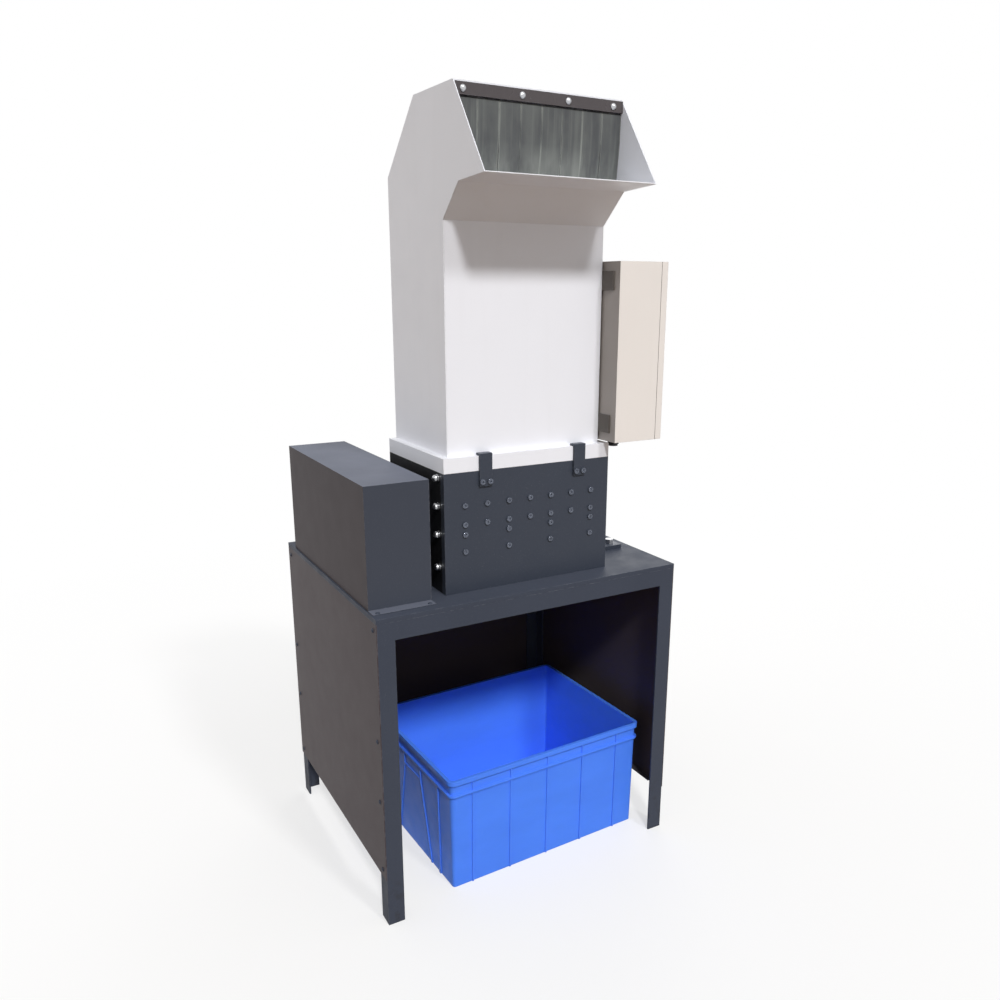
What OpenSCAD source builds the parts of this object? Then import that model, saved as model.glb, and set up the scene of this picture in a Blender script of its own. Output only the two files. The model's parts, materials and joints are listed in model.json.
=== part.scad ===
// Glass crusher with a strip-curtained feed hopper, a bolted crushing chamber on a sheet-metal
// stand, a belt drive under a side guard, a switch enclosure and a collecting crate.
// Millimetres. X runs to the machine's right, Y to its rear, Z up from the floor.
// The origin is on the floor under the middle of the whole machine.

/* [Stand] */
// width of the table over its side sheets
table_width = 760; // [720:10:860]
// depth of the table, front beam to rear sheet
table_depth = 630; // [600:10:700]
// height of the table top above the floor
table_height = 720; // [660:10:780]
// thickness of the top plate
top_thick = 10; // [6:1:12]
// face width of the leg angles
leg_width = 38; // [30:1:40]
// wall of the leg and beam angles
angle_wall = 4; // [3:0.5:5]
// height of the beams under the top plate
beam_height = 40; // [36:2:50]
// sheet thickness of the side and rear sheets
panel_wall = 2; // [1.5:0.5:3]
// height of the sheets' lower edge above the floor
panel_lift = 115; // [90:5:160]
// stiffening fold along the lower edge of each sheet
panel_fold = 14; // [10:1:18]

/* [Crushing chamber] */
// depth of the chamber
chamber_depth = 298; // [290:1:310]
// height of the chamber above the table
chamber_height = 266; // [260:1:290]
// distance from the table's left edge to the chamber
chamber_from_left = 184; // [180:1:200]
// distance from the chamber to the table's right edge
chamber_from_right = 159; // [145:1:175]
// distance from the table's front edge to the chamber
chamber_from_front = 63; // [50:1:75]
// thickness of the front plate
front_plate = 16; // [12:1:18]
// thickness of the side and rear plates
side_plate = 12; // [10:1:14]
// thickness of the wear liners on the side plates
liner_thick = 6; // [4:1:8]
// thickness of the two anvil bars behind the front plate
anvil_thick = 20; // [16:1:22]
// edge distance of the anvil bars' outer screw rows
anvil_edge = 10.5; // [9:0.1:11]
// distance from the front plate's side edges to the first screw column
column_margin = 48; // [40:1:55]
// thread size of the front plate screws
screw_size = 8; // [6:1:8]
// head of a front plate screw
screw_head = 12; // [11:0.5:13]
// height of the front plate screw heads
screw_head_height = 4; // [3:0.5:5]
// thread size of the liner studs in the side plates
stud_size = 9; // [8:1:10]
// height of the domed nuts on the liner studs
dome_height = 11; // [9:1:13]
// distance from the chamber's front face to the first row of liner studs
stud_inset = 29; // [28:1:36]
// reach of the chamber's hold-down lugs over the table
lug_reach = 126; // [110:1:127]
// width of a hold-down lug
lug_width = 44; // [36:1:50]
// plate thickness of the hold-down lugs and foot angles
foot_thick = 10; // [8:1:12]
// reach of the left and rear foot angles
foot_reach = 34; // [32:1:36]

/* [Rotor] */
// height of the rotor axis above the table
rotor_height = 136; // [134:1:140]
// radius of the beater bars' tips
beater_radius = 108; // [100:1:109]
// thickness of a beater bar
beater_thick = 14; // [10:1:16]
// depth of a beater bar, tip to root
beater_depth = 44; // [36:1:48]
// radius of the rotor discs
disc_radius = 92; // [86:1:94]
// thickness of a rotor disc
disc_thick = 12; // [8:1:14]
// number of rotor discs
disc_count = 4; // [3:1:5]
// number of beater bars
beater_count = 4; // [3:1:5]
// diameter of the rotor shaft between its bearings
shaft_body = 48; // [44:1:54]
// diameter of the rotor shaft in its bearings
shaft_journal = 35; // [30:1:38]
// radial running clearance of the shaft in its bearings
running_fit = 0.05; // [0.03:0.01:0.08]
// side of the square bearing flanges
bearing_side = 104; // [98:1:108]
// depth of a bearing housing, flange included
bearing_depth = 33; // [30:1:34]
// thickness of a bearing's flange
bearing_flange = 13; // [11:1:15]
// outside diameter of a bearing's boss
bearing_boss = 80; // [74:1:84]
// clear gap between the beater tips and the screen
screen_gap = 5; // [3:0.5:6]
// thickness of the curved discharge screen
screen_wall = 4; // [3:0.5:5]
// diameter of the screen's holes
screen_hole = 26; // [20:1:28]

/* [Belt drive] */
// outside diameter of the rotor's pulley
rotor_pulley_size = 200; // [180:5:210]
// outside diameter of the motor's pulley
motor_pulley_size = 100; // [90:5:110]
// number of belts
belt_count = 3; // [1:1:3]
// spacing of the belts
groove_pitch = 15; // [14.5:0.5:16]
// width of a pulley groove at the rim
groove_width = 12.7; // [12.5:0.1:13]
// depth of a pulley groove
groove_depth = 13.5; // [12:0.5:14]
// flank angle of grooves and belts
flank_angle = 19; // [17:1:20]
// width of a belt at its back
belt_width = 12; // [11:0.1:12.1]
// thickness of a belt
belt_thick = 9; // [8:0.5:10]
// rim left on each side of the outer grooves
pulley_edge = 10; // [8.5:0.5:11]
// depth of the motor's centre behind the rotor's
drive_reach = 275; // [270:1:285]
// height of the motor axis above its feet
motor_height = 90; // [90:1:100]
// diameter of the motor's body over its fins
motor_size = 172; // [160:1:176]
// height of the motor's cooling fins
fin_height = 9; // [6:1:12]
// thickness of a cooling fin
fin_thick = 3; // [2.5:0.5:4]
// number of cooling fins around the motor
fin_count = 36; // [24:4:40]
// length of the motor's finned body
motor_length = 190; // [170:5:210]
// depth of each motor end shield
shield_depth = 18; // [14:1:22]
// length of the motor's fan cowl
cowl_length = 52; // [44:2:60]
// diameter of the motor shaft
motor_shaft_size = 28; // [24:1:30]
// height of the slide rails under the motor
rail_height = 15; // [12:1:18]

/* [Belt guard] */
// width of the belt guard
guard_width = 142; // [138:1:146]
// depth of the belt guard, front to rear
guard_depth = 524; // [515:1:530]
// height of the belt guard
guard_height = 262; // [255:1:275]
// sheet thickness of the belt guard
guard_sheet = 1.5; // [1:0.5:2]
// distance from the table's front edge to the guard
guard_from_front = 52; // [50:1:60]
// distance from the table's left edge to the guard
guard_from_left = 4; // [3:1:5]
// reach of the guard's screwed feet
guard_foot = 27; // [22:1:30]

/* [Feed hopper] */
// depth of the hopper's duct
hopper_depth = 277; // [272:1:280]
// distance from the chamber's left side to the hopper's
hopper_side_step = 16; // [14:1:18]
// setback of the hopper's right side from the chamber's
hopper_right_step = 20; // [18:1:24]
// distance from the chamber's front to the hopper's
hopper_front_step = 16; // [16:1:18]
// sheet thickness of the hopper
hopper_wall = 2; // [1.5:0.5:3]
// height of the collar round the hopper's base
collar_height = 32; // [28:1:36]
// wall of the collar's angle section
collar_wall = 4; // [3:0.5:5]
// height of the duct's front, up to the chin
throat_height = 501; // [480:1:520]
// rise of the sloping chin
chin_rise = 64; // [56:1:70]
// reach of the sloping chin
chin_reach = 70; // [60:1:76]
// reach of the lip beyond the chin
lip_reach = 105; // [90:1:110]
// rise of the lip from chin to edge
lip_rise = 5; // [3:1:7]
// height of the hopper's roof edge above the chamber
roof_height = 741; // [730:1:760]
// reach of the roof's front edge before the duct's front
roof_reach = 53; // [46:1:58]
// depth of the flat roof behind its front edge
roof_depth = 181; // [170:1:190]
// rise of the roof's rear bend above its front edge
roof_fall = 3; // [0:1:4]
// height of the duct's rear, up to the sloping back
back_height = 604; // [590:1:620]
// flange turned down at the roof's front edge
roof_flange = 26; // [24:1:28]

/* [Strip curtain] */
// number of hanging strips, each with its own part
strip_count = 8;
// thickness of a strip
strip_thick = 2; // [1.5:0.5:2.5]
// gap between neighbouring strips and beside the end strips
strip_gap = 1.6; // [1.2:0.1:2]
// height of the strips' lower ends above the lip
strip_foot_gap = 5.6; // [3.6:0.2:11.6]
// angle by which a strip bends inward towards its lower end
strip_curl = 11; // [8:1:14]
// height of the clamp bar that holds the curtain
clamp_height = 22; // [20:1:26]
// drop from the roof's front edge to the top of the clamp bar
clamp_below = 4; // [3:0.5:6]
// thickness of the clamp bar
clamp_thick = 4; // [3:0.5:5]
// diameter of the clamp screws' domed heads
clamp_screw_head = 13; // [11:1:14]

/* [Hold-down clips] */
// width of a clip
clip_width = 30; // [26:1:32]
// thickness of a clip
clip_thick = 5; // [4:0.5:6]
// height of a clip below the collar
clip_drop = 34; // [32:1:38]
// reach of a clip's hook over the collar
clip_hook = 12; // [10:1:14]
// spacing of a clip's two screws
clip_screws = 19; // [16:0.5:20]

/* [Enclosure] */
// height of the switch enclosure
box_height = 390; // [380:5:400]
// depth of the enclosure's sides, front to rear
box_width = 300; // [280:5:310]
// distance the enclosure stands out to the right
box_depth = 112; // [100:1:118]
// sheet thickness of the enclosure
box_wall = 1.5; // [1.2:0.1:2]
// depth of the enclosure's door
door_depth = 16; // [14:1:18]
// clear gap between the door and the body
door_gap = 1; // [0.8:0.1:1.5]
// height of the enclosure's floor above the chamber
box_lift = 39; // [35:1:45]
// distance the enclosure stands ahead of the hopper's front
box_ahead = 61; // [56:1:66]
// thickness of the mounting brackets behind the enclosure
bracket_thick = 4; // [3:0.5:5]
// diameter of the push buttons' bezels
bezel_size = 30; // [28:1:32]
// diameter of the emergency stop's mushroom head
mushroom_size = 40; // [36:1:42]
// travel of the push buttons
button_travel = 4; // [3:0.5:4.5]
// bore of the cable gland
gland_bore = 12; // [10:1:14]
// length of the cable gland below the enclosure
gland_length = 24; // [20:1:28]

/* [Crate] */
// length of the crate over its rim
crate_length = 550; // [530:2:550]
// width of the crate over its rim
crate_width = 426; // [400:2:430]
// height of the crate
crate_height = 283; // [270:1:300]
// wall of the crate
crate_wall = 3; // [2.5:0.5:3.5]
// reach of the rim beyond the crate's wall
rim_reach = 6; // [5:0.5:6.5]
// height of the rim's edge
rim_height = 11; // [8:1:14]
// depth of the second band below the rim's top
band_drop = 42; // [38:1:48]
// thickness of the second band
band_height = 5; // [4:1:7]
// thickness of the crate's ribs
crate_rib = 4; // [3:0.5:5]
// inward lean of the crate's walls from rim to floor
crate_lean = 5; // [4:0.5:6]
// corner radius of the crate's rim
crate_corner = 18; // [17:1:22]
// distance from the table's right edge to the crate's end
crate_from_right = 48.4; // [48.4:0.2:58]
// distance from the table's front edge to the crate's middle
crate_from_front = 254.1; // [250:0.1:300]
// angle by which the crate stands turned under the table
crate_turn = 2.2; // [0:0.1:2.2]

/* [Hidden] */
$fn = 48;
clear = 1;
seam = 0.2;
play = 0.4;

// stand
sheet_screw = 4.8;
sheet_screw_head = 10;
sheet_screw_dome = 3;
sheet_screw_shank = 5;
left_edge = -table_width / 2;
right_edge = table_width / 2;
overhang = chin_reach + lip_reach - chamber_from_front - hopper_front_step;
front_edge = (overhang - table_depth - sheet_screw_dome) / 2;
rear_edge = front_edge + table_depth;
top_under = table_height - top_thick;
leg_left = left_edge + panel_wall;
leg_right = right_edge - panel_wall;
leg_rear = rear_edge - panel_wall;
beam_under = top_under - beam_height;
panel_screw_shares = [0.03, 0.31, 0.55, 0.97];
panel_screw_inset = leg_width / 2;

// chamber
ch_left = left_edge + chamber_from_left;
ch_right = right_edge - chamber_from_right;
chamber_width = ch_right - ch_left;
column_pitch = (chamber_width - 2 * column_margin) / 6;
ch_front = front_edge + chamber_from_front;
ch_rear = ch_front + chamber_depth;
ch_top = table_height + chamber_height;
in_left = ch_left + side_plate;
in_right = ch_right - side_plate;
in_front = ch_front + front_plate;
in_rear = ch_rear - side_plate;
ch_middle = (ch_left + ch_right) / 2;
axis_y = (in_front + in_rear) / 2;
axis_z = table_height + rotor_height;
liner_left = in_left + liner_thick;
liner_right = in_right - liner_thick;
work_left = liner_left + clear;
work_right = liner_right - clear;
work_width = work_right - work_left;
row_shares = [0.729, 0.571, 0.489, 0.346];
rows = [for (s = row_shares) table_height + chamber_height * s];
upper_split = (rows[1] + rows[2]) / 2;
anvil_top = rows[0] + anvil_edge;
anvil_under = rows[3] - anvil_edge;
all_columns = [-3, -2, -1, 0, 1, 2, 3];
even_columns = [-3, -1, 1, 3];
stud_shares = [0.218, 0.49, 0.722, 0.953];
stud_rear_inset = side_plate + stud_inset / 2;
stud_flange = stud_size * 1.9;
lug_front = ch_front + chamber_depth * 0.428;
lug_rear = ch_front + chamber_depth * 0.8;
foot_bolt = 12;
foot_bolt_head = 19;
foot_bolt_rise = 12;
foot_bolt_nut = 10;
foot_rise = 40;

// rotor
screen_inner = beater_radius + screen_gap;
screen_outer = screen_inner + screen_wall;
screen_flange_top = anvil_under - clear;
screen_flange_z = screen_flange_top - screen_wall;
screen_angle = asin((axis_z - screen_flange_z - screen_wall / 2) / screen_outer);
screen_reach = screen_outer * cos(screen_angle);
hole_angles = [50, 70, 90, 110, 130];
hole_shares = [0.08, 0.22, 0.36, 0.5, 0.64, 0.78, 0.92];
rail_width = 22;
rail_depth = 14;
hub_wall = 13;
hub_size = shaft_body + 2 * hub_wall;
bearing_pitch = bearing_side * 0.74;
bearing_bolt = 10;
bearing_bolt_head = 16;
bearing_bolt_rise = 7;
shaft_relief = 4;
shaft_bore = shaft_journal + 2 * shaft_relief;
shaft_stub = 8;
shaft_right = ch_right + bearing_depth + shaft_stub;

// drive
guard_left = left_edge + guard_from_left;
guard_right = guard_left + guard_width;
guard_front = front_edge + guard_from_front;
guard_rear = guard_front + guard_depth;
guard_top = table_height + guard_height;
pulley_width = (belt_count - 1) * groove_pitch + 2 * pulley_edge;
pulley_inset = 9;
pulley_right = guard_right - guard_sheet - pulley_inset;
pulley_left = pulley_right - pulley_width;
pulley_middle = (pulley_left + pulley_right) / 2;
rotor_pulley_r = rotor_pulley_size / 2;
motor_pulley_r = motor_pulley_size / 2;
motor_y = axis_y + drive_reach;
rail_top = table_height + rail_height;
motor_z = rail_top + motor_height;
drive_centres = norm([motor_y - axis_y, motor_z - axis_z]);
drive_angle = atan2(motor_z - axis_z, motor_y - axis_y);
belt_wrap = acos((rotor_pulley_r - motor_pulley_r) / drive_centres);
belt_run = drive_centres * sin(belt_wrap);
belt_root = belt_width - 2 * belt_thick * tan(flank_angle);
groove_root = groove_width - 2 * groove_depth * tan(flank_angle);
key_size = 10;
motor_gap = 12;
motor_face = guard_right + motor_gap;
motor_front = motor_face + shield_depth;
motor_rear = motor_front + motor_length;
motor_end = motor_rear + shield_depth;
motor_foot_y = motor_height * 1.56 / 2;
motor_foot_x = [motor_front + motor_length * 0.14, motor_front + motor_length * 0.86];
motor_foot_wide = 34;
motor_foot_thick = 10;
motor_foot_long = 38;
cowl_wall = 2;
cowl_corner = 8;
cowl_slot = 5;
cowl_inner = motor_size / 2 - cowl_wall;
rail_wide = 40;
guard_shaft_hole = 60;

// hopper
hp_left = ch_left + hopper_side_step;
hp_right = ch_right - hopper_right_step;
hp_front = ch_front + hopper_front_step;
hp_rear = hp_front + hopper_depth;
hp_inner_left = hp_left + hopper_wall;
hp_inner_right = hp_right - hopper_wall;
collar_top = ch_top + collar_height;
throat_z = ch_top + throat_height;
chin_y = hp_front - chin_reach;
chin_z = throat_z + chin_rise;
lip_y = chin_y - lip_reach;
lip_z = chin_z + lip_rise;
roof_y = hp_front - roof_reach;
roof_z = ch_top + roof_height;
ridge_y = roof_y + roof_depth;
ridge_z = roof_z + roof_fall;
back_z = ch_top + back_height;
side_profile = [
  [hp_rear, ch_top], [hp_front, ch_top], [hp_front, throat_z], [chin_y, chin_z],
  [lip_y, lip_z], [roof_y, roof_z], [ridge_y, ridge_z], [hp_rear, back_z]];

// curtain
flange_back = roof_y + hopper_wall;
strip_pitch = (hp_inner_right - hp_inner_left - strip_gap) / strip_count;
strip_wide = strip_pitch - strip_gap;
clamp_top = roof_z - clamp_below;
clamp_under = clamp_top - clamp_height;
strip_y = roof_y - strip_thick / 2;
strip_z = clamp_under - strip_thick / 2 - play;
strip_drop = strip_z - lip_z - strip_foot_gap;
curl_radius = strip_drop / sin(strip_curl);
clamp_front = roof_y - strip_thick - clamp_thick;
clamp_screw_shares = [0.041, 0.376, 0.651, 0.937];
clamp_screw_dome = 5;
clamp_screw_shank = 6;
clamp_screw_z = clamp_under + clamp_height * 0.48;

// clips
clip_shares = [0.233, 0.803];
clip_under = ch_top - clip_drop;
clip_screw_lift = 10;
clip_screw_z = clip_under + clip_screw_lift;

// enclosure
bx_back = hp_right + bracket_thick;
bx_open = bx_back + box_depth;
bx_face = bx_open + door_gap + door_depth;
bx_front = hp_front - box_ahead;
bx_rear = bx_front + box_width;
bx_floor = ch_top + box_lift;
bx_top = bx_floor + box_height;
bx_middle_y = (bx_front + bx_rear) / 2;
rim_fold = 12;
hinge_size = 8;
hinge_x = bx_open - hinge_size / 2;
hinge_y = bx_rear + hinge_size / 2;
hinge_shares = [0.16, 0.84];
hinge_long = 44;
latch_y = bx_front + box_width * 0.09;
latch_z = bx_floor + box_height / 2;
latch_size = 24;
button_size = 22;
button_y = bx_front + box_width * 0.42;
button_shares = [0.84, 0.7, 0.53];
button_z = [for (s = button_shares) bx_floor + box_height * s];
bezel_rise = 4;
button_rise = 9;
gland_y = bx_front + box_width * 0.3;
gland_x = bx_back + box_depth * 0.55;
gland_size = 22;
gland_nut = 27;
bracket_wide = 40;

// crate
crate_x = right_edge - crate_from_right - crate_length / 2;
crate_y = front_edge + crate_from_front;
rib_shares = [0.113, 0.3, 0.49, 0.678, 0.87];
rib_deep = rim_reach * 0.45;
side_rib_y = crate_width * 0.32;
brace_head = crate_width * 0.1;
brace_foot = crate_width * 0.21;
handle_deep = 36;
handle_under = crate_height - band_drop - handle_deep;

// shared helpers

// a block between two corners
module block(x0, x1, y0, y1, z0, z1) {
  translate([x0, y0, z0])
    cube([x1 - x0, y1 - y0, z1 - z0]);
}

// children drawn round an axis that runs along X, with local X to the rear and local Y up
module along_x(x, y, z) {
  translate([x, y, z])
    rotate([90, 0, 90])
      children();
}

// children drawn round an axis that runs towards the rear, with local X to the left
module along_y(x, y, z) {
  translate([x, y, z])
    rotate([-90, 0, 0])
      children();
}

// a plain rod along the local Z axis
module rod(size, length) {
  cylinder(d = size, h = length);
}

// a rectangle with rounded corners, centred
module rounded(wide, high, radius) {
  square([wide - 2 * radius, high], center = true);
  square([wide, high - 2 * radius], center = true);
  for (sx = [-1, 1])
    for (sy = [-1, 1])
      translate([sx * (wide / 2 - radius), sy * (high / 2 - radius)])
        circle(radius);
}

// a domed screw head standing on the local XY plane, with its shank below it
module dome_screw(head, dome, shank, length) {
  base = dome * 0.3;
  ball = (head * head / 4 + (dome - base) * (dome - base)) / (2 * (dome - base));
  cylinder(d = head, h = base);
  translate([0, 0, base])
    intersection() {
      cylinder(d = head, h = dome - base);
      translate([0, 0, dome - base - ball])
        sphere(ball);
    }
  translate([0, 0, -length])
    rod(shank, length);
}

// a hexagon-headed bolt standing on the local XY plane, with its shank below it
module hex_bolt(head, rise, shank, length) {
  cylinder(d = head / cos(30), h = rise, $fn = 6);
  translate([0, 0, -length])
    rod(shank, length);
}

// a button-head screw with a socket, standing on the local XY plane
module socket_screw(head, rise, shank, length) {
  difference() {
    rod(head, rise);
    translate([0, 0, rise / 2])
      cylinder(d = shank * 0.62 / cos(30), h = rise, $fn = 6);
  }
  translate([0, 0, -length])
    rod(shank, length);
}

function unit(v) = v / norm(v);
function left_of(v) = [-v[1], v[0]];

// inner corner of a bent sheet: the outer corner moved along the mitre by one sheet thickness
function mitre(p, q, r, wall) =
  let (a = unit(q - p), n = left_of(unit(a + unit(r - q))))
  q + n * wall / (n * left_of(a));

// inner line of a sheet that is bent along the given outer line
function inner_line(line, wall) =
  let (last = len(line) - 1)
  [for (i = [0 : last])
    i == 0 ? line[0] + left_of(unit(line[1] - line[0])) * wall
    : i == last ? line[last] + left_of(unit(line[last] - line[last - 1])) * wall
    : mitre(line[i - 1], line[i], line[i + 1], wall)];

function reversed(list) = [for (i = [len(list) - 1 : -1 : 0]) list[i]];

// a sheet bent along a line in the YZ plane, between two X positions
module bent_sheet(line, wall, x0, x1) {
  along_x(x0, 0, 0)
    linear_extrude(x1 - x0)
      polygon(concat(line, reversed(inner_line(line, wall))));
}

// stand

module leg(mirror_x, mirror_y, x, y) {
  translate([x, y, 0])
    mirror([mirror_x, 0, 0])
      mirror([0, mirror_y, 0])
        linear_extrude(top_under)
          difference() {
            square(leg_width);
            translate([angle_wall, angle_wall])
              square(leg_width);
          }
}

module stand_frame() {
  color("#3d444f") {
    leg(0, 0, leg_left, front_edge);
    leg(1, 0, leg_right, front_edge);
    leg(0, 1, leg_left, leg_rear);
    leg(1, 1, leg_right, leg_rear);
    block(leg_left, leg_right, front_edge, front_edge + angle_wall, beam_under, top_under);
    block(leg_left, leg_right, leg_rear - angle_wall, leg_rear, beam_under, top_under);
    block(leg_left, leg_left + angle_wall, front_edge, leg_rear, beam_under, top_under);
    block(leg_right - angle_wall, leg_right, front_edge, leg_rear, beam_under, top_under);
    difference() {
      block(leg_left, leg_right, front_edge, leg_rear, top_under - angle_wall, top_under);
      block(
        leg_left + beam_height, leg_right - beam_height,
        front_edge + beam_height, leg_rear - beam_height,
        top_under - 2 * angle_wall, top_under + clear);
    }
  }
}

module top_plate() {
  color("#7e8594")
    difference() {
      block(left_edge, right_edge, front_edge, rear_edge, top_under, table_height);
      block(in_left, in_right, in_front, in_rear, top_under - clear, table_height + clear);
      for (p = foot_bolt_places)
        translate([p[0], p[1], top_under - clear])
          rod(foot_bolt + play, top_thick + 2 * clear);
      for (p = guard_screw_places)
        translate([p[0], p[1], top_under - clear])
          rod(sheet_screw + play, top_thick + 2 * clear);
    }
}

// screws through a side sheet, drawn outwards along the local Z axis
module side_screw_places(x, turn) {
  for (share = panel_screw_shares)
    for (y = [front_edge + panel_screw_inset, leg_rear - panel_screw_inset])
      translate([x, y, panel_lift + (top_under - panel_lift) * share])
        rotate([0, turn, 0])
          children();
}

module rear_screw_places() {
  for (share = panel_screw_shares)
    for (x = [leg_left + panel_screw_inset, leg_right - panel_screw_inset])
      translate([x, rear_edge, panel_lift + (top_under - panel_lift) * share])
        rotate([-90, 0, 0])
          children();
}

module panel_hole() {
  translate([0, 0, -sheet_screw_shank])
    rod(sheet_screw + play, 2 * sheet_screw_shank);
}

// a side sheet with its lower edge folded inwards
module side_panel(edge, inward) {
  inner = edge + inward * panel_wall;
  folded = edge + inward * (panel_fold + panel_wall);
  fold_front = front_edge + leg_width + clear;
  fold_rear = leg_rear - leg_width - clear;
  block(min(edge, inner), max(edge, inner), front_edge, rear_edge, panel_lift, top_under);
  block(min(inner, folded), max(inner, folded), fold_front, fold_rear,
    panel_lift, panel_lift + panel_wall);
}

module left_panel() {
  color("#565359")
    difference() {
      side_panel(left_edge, 1);
      side_screw_places(left_edge, -90)
        panel_hole();
    }
}

module right_panel() {
  color("#565359")
    difference() {
      side_panel(right_edge, -1);
      side_screw_places(right_edge, 90)
        panel_hole();
    }
}

module rear_panel() {
  color("#2b2e35")
    difference() {
      union() {
        block(leg_left, leg_right, leg_rear, rear_edge, panel_lift, top_under);
        block(
          leg_left + leg_width + clear, leg_right - leg_width - clear,
          leg_rear - panel_fold, leg_rear, panel_lift, panel_lift + panel_wall);
      }
      rear_screw_places()
        panel_hole();
    }
}

module sheet_screws() {
  color("#6b6f78") {
    side_screw_places(left_edge, -90)
      dome_screw(sheet_screw_head, sheet_screw_dome, sheet_screw, panel_wall);
    side_screw_places(right_edge, 90)
      dome_screw(sheet_screw_head, sheet_screw_dome, sheet_screw, panel_wall);
    rear_screw_places()
      dome_screw(sheet_screw_head, sheet_screw_dome, sheet_screw, panel_wall);
    for (p = guard_screw_places)
      translate([p[0], p[1], table_height + guard_sheet])
        dome_screw(sheet_screw_head, sheet_screw_dome, sheet_screw, top_thick);
  }
}

// sheet skirt that leads the broken glass from the screen down to the crate
chute_fall = 64;
chute_inset = 22;
chute_top = top_under - angle_wall - beam_height * 0.1;

module discharge_chute() {
  color("#4a4e57")
    difference() {
      union() {
        chute_body(0, chute_top - chute_fall, top_under - seam);
        block(
          in_left - panel_fold, in_right + panel_fold,
          in_front - panel_fold, in_rear + panel_fold,
          top_under - panel_wall, top_under);
      }
      chute_body(panel_wall, chute_top - chute_fall - clear, top_under + clear);
    }
}

// the space inside the chute's outer skin, its front and rear leaning inwards
module chute_body(wall, z0, z1) {
  slope = chute_inset / (top_under - chute_top + chute_fall);
  front_low = in_front + (top_under - z0) * slope;
  rear_low = in_rear - (top_under - z0) * slope;
  front_high = in_front + (top_under - z1) * slope;
  rear_high = in_rear - (top_under - z1) * slope;
  along_x(in_left + wall, 0, 0)
    linear_extrude(in_right - in_left - 2 * wall)
      polygon([
        [front_low + wall, z0], [rear_low - wall, z0],
        [rear_high - wall, z1], [front_high + wall, z1]]);
}

// crushing chamber

module at_rows(columns, picked) {
  for (z = picked)
    for (c = columns)
      along_y(ch_middle + c * column_pitch, ch_front, z)
        children();
}

// every screw place on the front plate, pointing into the chamber
module front_screw_places() {
  at_rows(all_columns, [rows[0], rows[1]])
    children();
  at_rows(even_columns, [rows[2], rows[3]])
    children();
}

module clip_screw_places() {
  for (share = clip_shares)
    for (side = [-1, 1])
      along_y(ch_left + chamber_width * share + side * clip_screws / 2,
        ch_front - clip_thick, clip_screw_z)
        children();
}

module chamber_front() {
  color("#454c58")
    difference() {
      block(ch_left, ch_right, ch_front, in_front, table_height, ch_top);
      front_screw_places()
        translate([0, 0, -clear])
          rod(screw_size + play, front_plate + 2 * clear);
      clip_screw_places()
        translate([0, 0, -clear])
          rod(screw_size, clip_thick + front_plate + 2 * clear);
    }
}

// liner stud places on one side plate, pointing outwards
module stud_places(x, turn) {
  for (i = [0 : 3])
    for (y = i < 3 ? [ch_front + stud_inset, ch_rear - stud_rear_inset] : [ch_front + stud_inset])
      translate([x, y, table_height + chamber_height * stud_shares[i]])
        rotate([0, turn, 0])
          children();
}

module bearing_bolt_places(x, turn) {
  for (sy = [-1, 1])
    for (sz = [-1, 1])
      translate([x, axis_y + sy * bearing_pitch / 2, axis_z + sz * bearing_pitch / 2])
        rotate([0, turn, 0])
          children();
}

// a side plate with its shaft bore, stud holes and tapped bearing holes
module chamber_side(x, turn) {
  difference() {
    block(x, x + side_plate, in_front, ch_rear, table_height, ch_top);
    along_x(x - clear, axis_y, axis_z)
      rod(shaft_body + 2 * clear, side_plate + 2 * clear);
    stud_places(x + side_plate / 2, turn)
      translate([0, 0, -side_plate])
        rod(stud_size + play, 2 * side_plate);
    bearing_bolt_places(x + side_plate / 2, turn)
      translate([0, 0, -side_plate])
        rod(bearing_bolt, 2 * side_plate);
  }
}

module chamber_left() {
  color("#1c1d20")
    chamber_side(ch_left, -90);
}

module chamber_right() {
  color("#1c1d20")
    chamber_side(in_right, 90);
}

module chamber_rear() {
  color("#1c1d20")
    block(in_left, in_right, in_rear, ch_rear, table_height, ch_top);
}

// places of the bolts that hold the chamber's feet and the motor's rails to the table
lug_bolt_x = ch_right + lug_reach - lug_width / 2;
rear_foot_y = ch_rear + foot_thick + foot_bolt_head * 0.6;
left_foot_x = ch_left - foot_reach * 0.6;
foot_bolt_places = concat(
  [for (y = [lug_front, lug_rear]) [lug_bolt_x, y]],
  [for (x = [motor_foot_x[0] + rail_wide, motor_foot_x[1] + rail_wide]) [x, rear_foot_y]],
  [for (y = [lug_rear]) [left_foot_x, y]]);

// hold-down lugs on the right with upright gussets, and foot angles at the left and rear
module chamber_feet() {
  color("#3a4049")
    difference() {
      union() {
        for (y = [lug_front, lug_rear])
          lug(y);
        block(ch_left + side_plate * 2, ch_right - side_plate * 2,
          ch_rear, ch_rear + foot_reach, table_height, table_height + foot_thick);
        block(ch_left + side_plate * 2, ch_right - side_plate * 2,
          ch_rear, ch_rear + foot_thick, table_height, table_height + foot_rise);
        block(ch_left - foot_reach, ch_left, ch_rear - chamber_depth / 3, ch_rear,
          table_height, table_height + foot_thick);
      }
      for (p = foot_bolt_places)
        translate([p[0], p[1], table_height - clear])
          rod(foot_bolt + play, foot_rise);
    }
}

module lug(y) {
  block(ch_right, ch_right + lug_reach, y - lug_width / 2, y + lug_width / 2,
    table_height, table_height + foot_thick);
  translate([ch_right, y + foot_thick / 2, table_height + foot_thick])
    rotate([90, 0, 0])
      linear_extrude(foot_thick)
        polygon([[0, 0], [lug_reach - lug_width, 0], [0, foot_rise]]);
}

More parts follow.
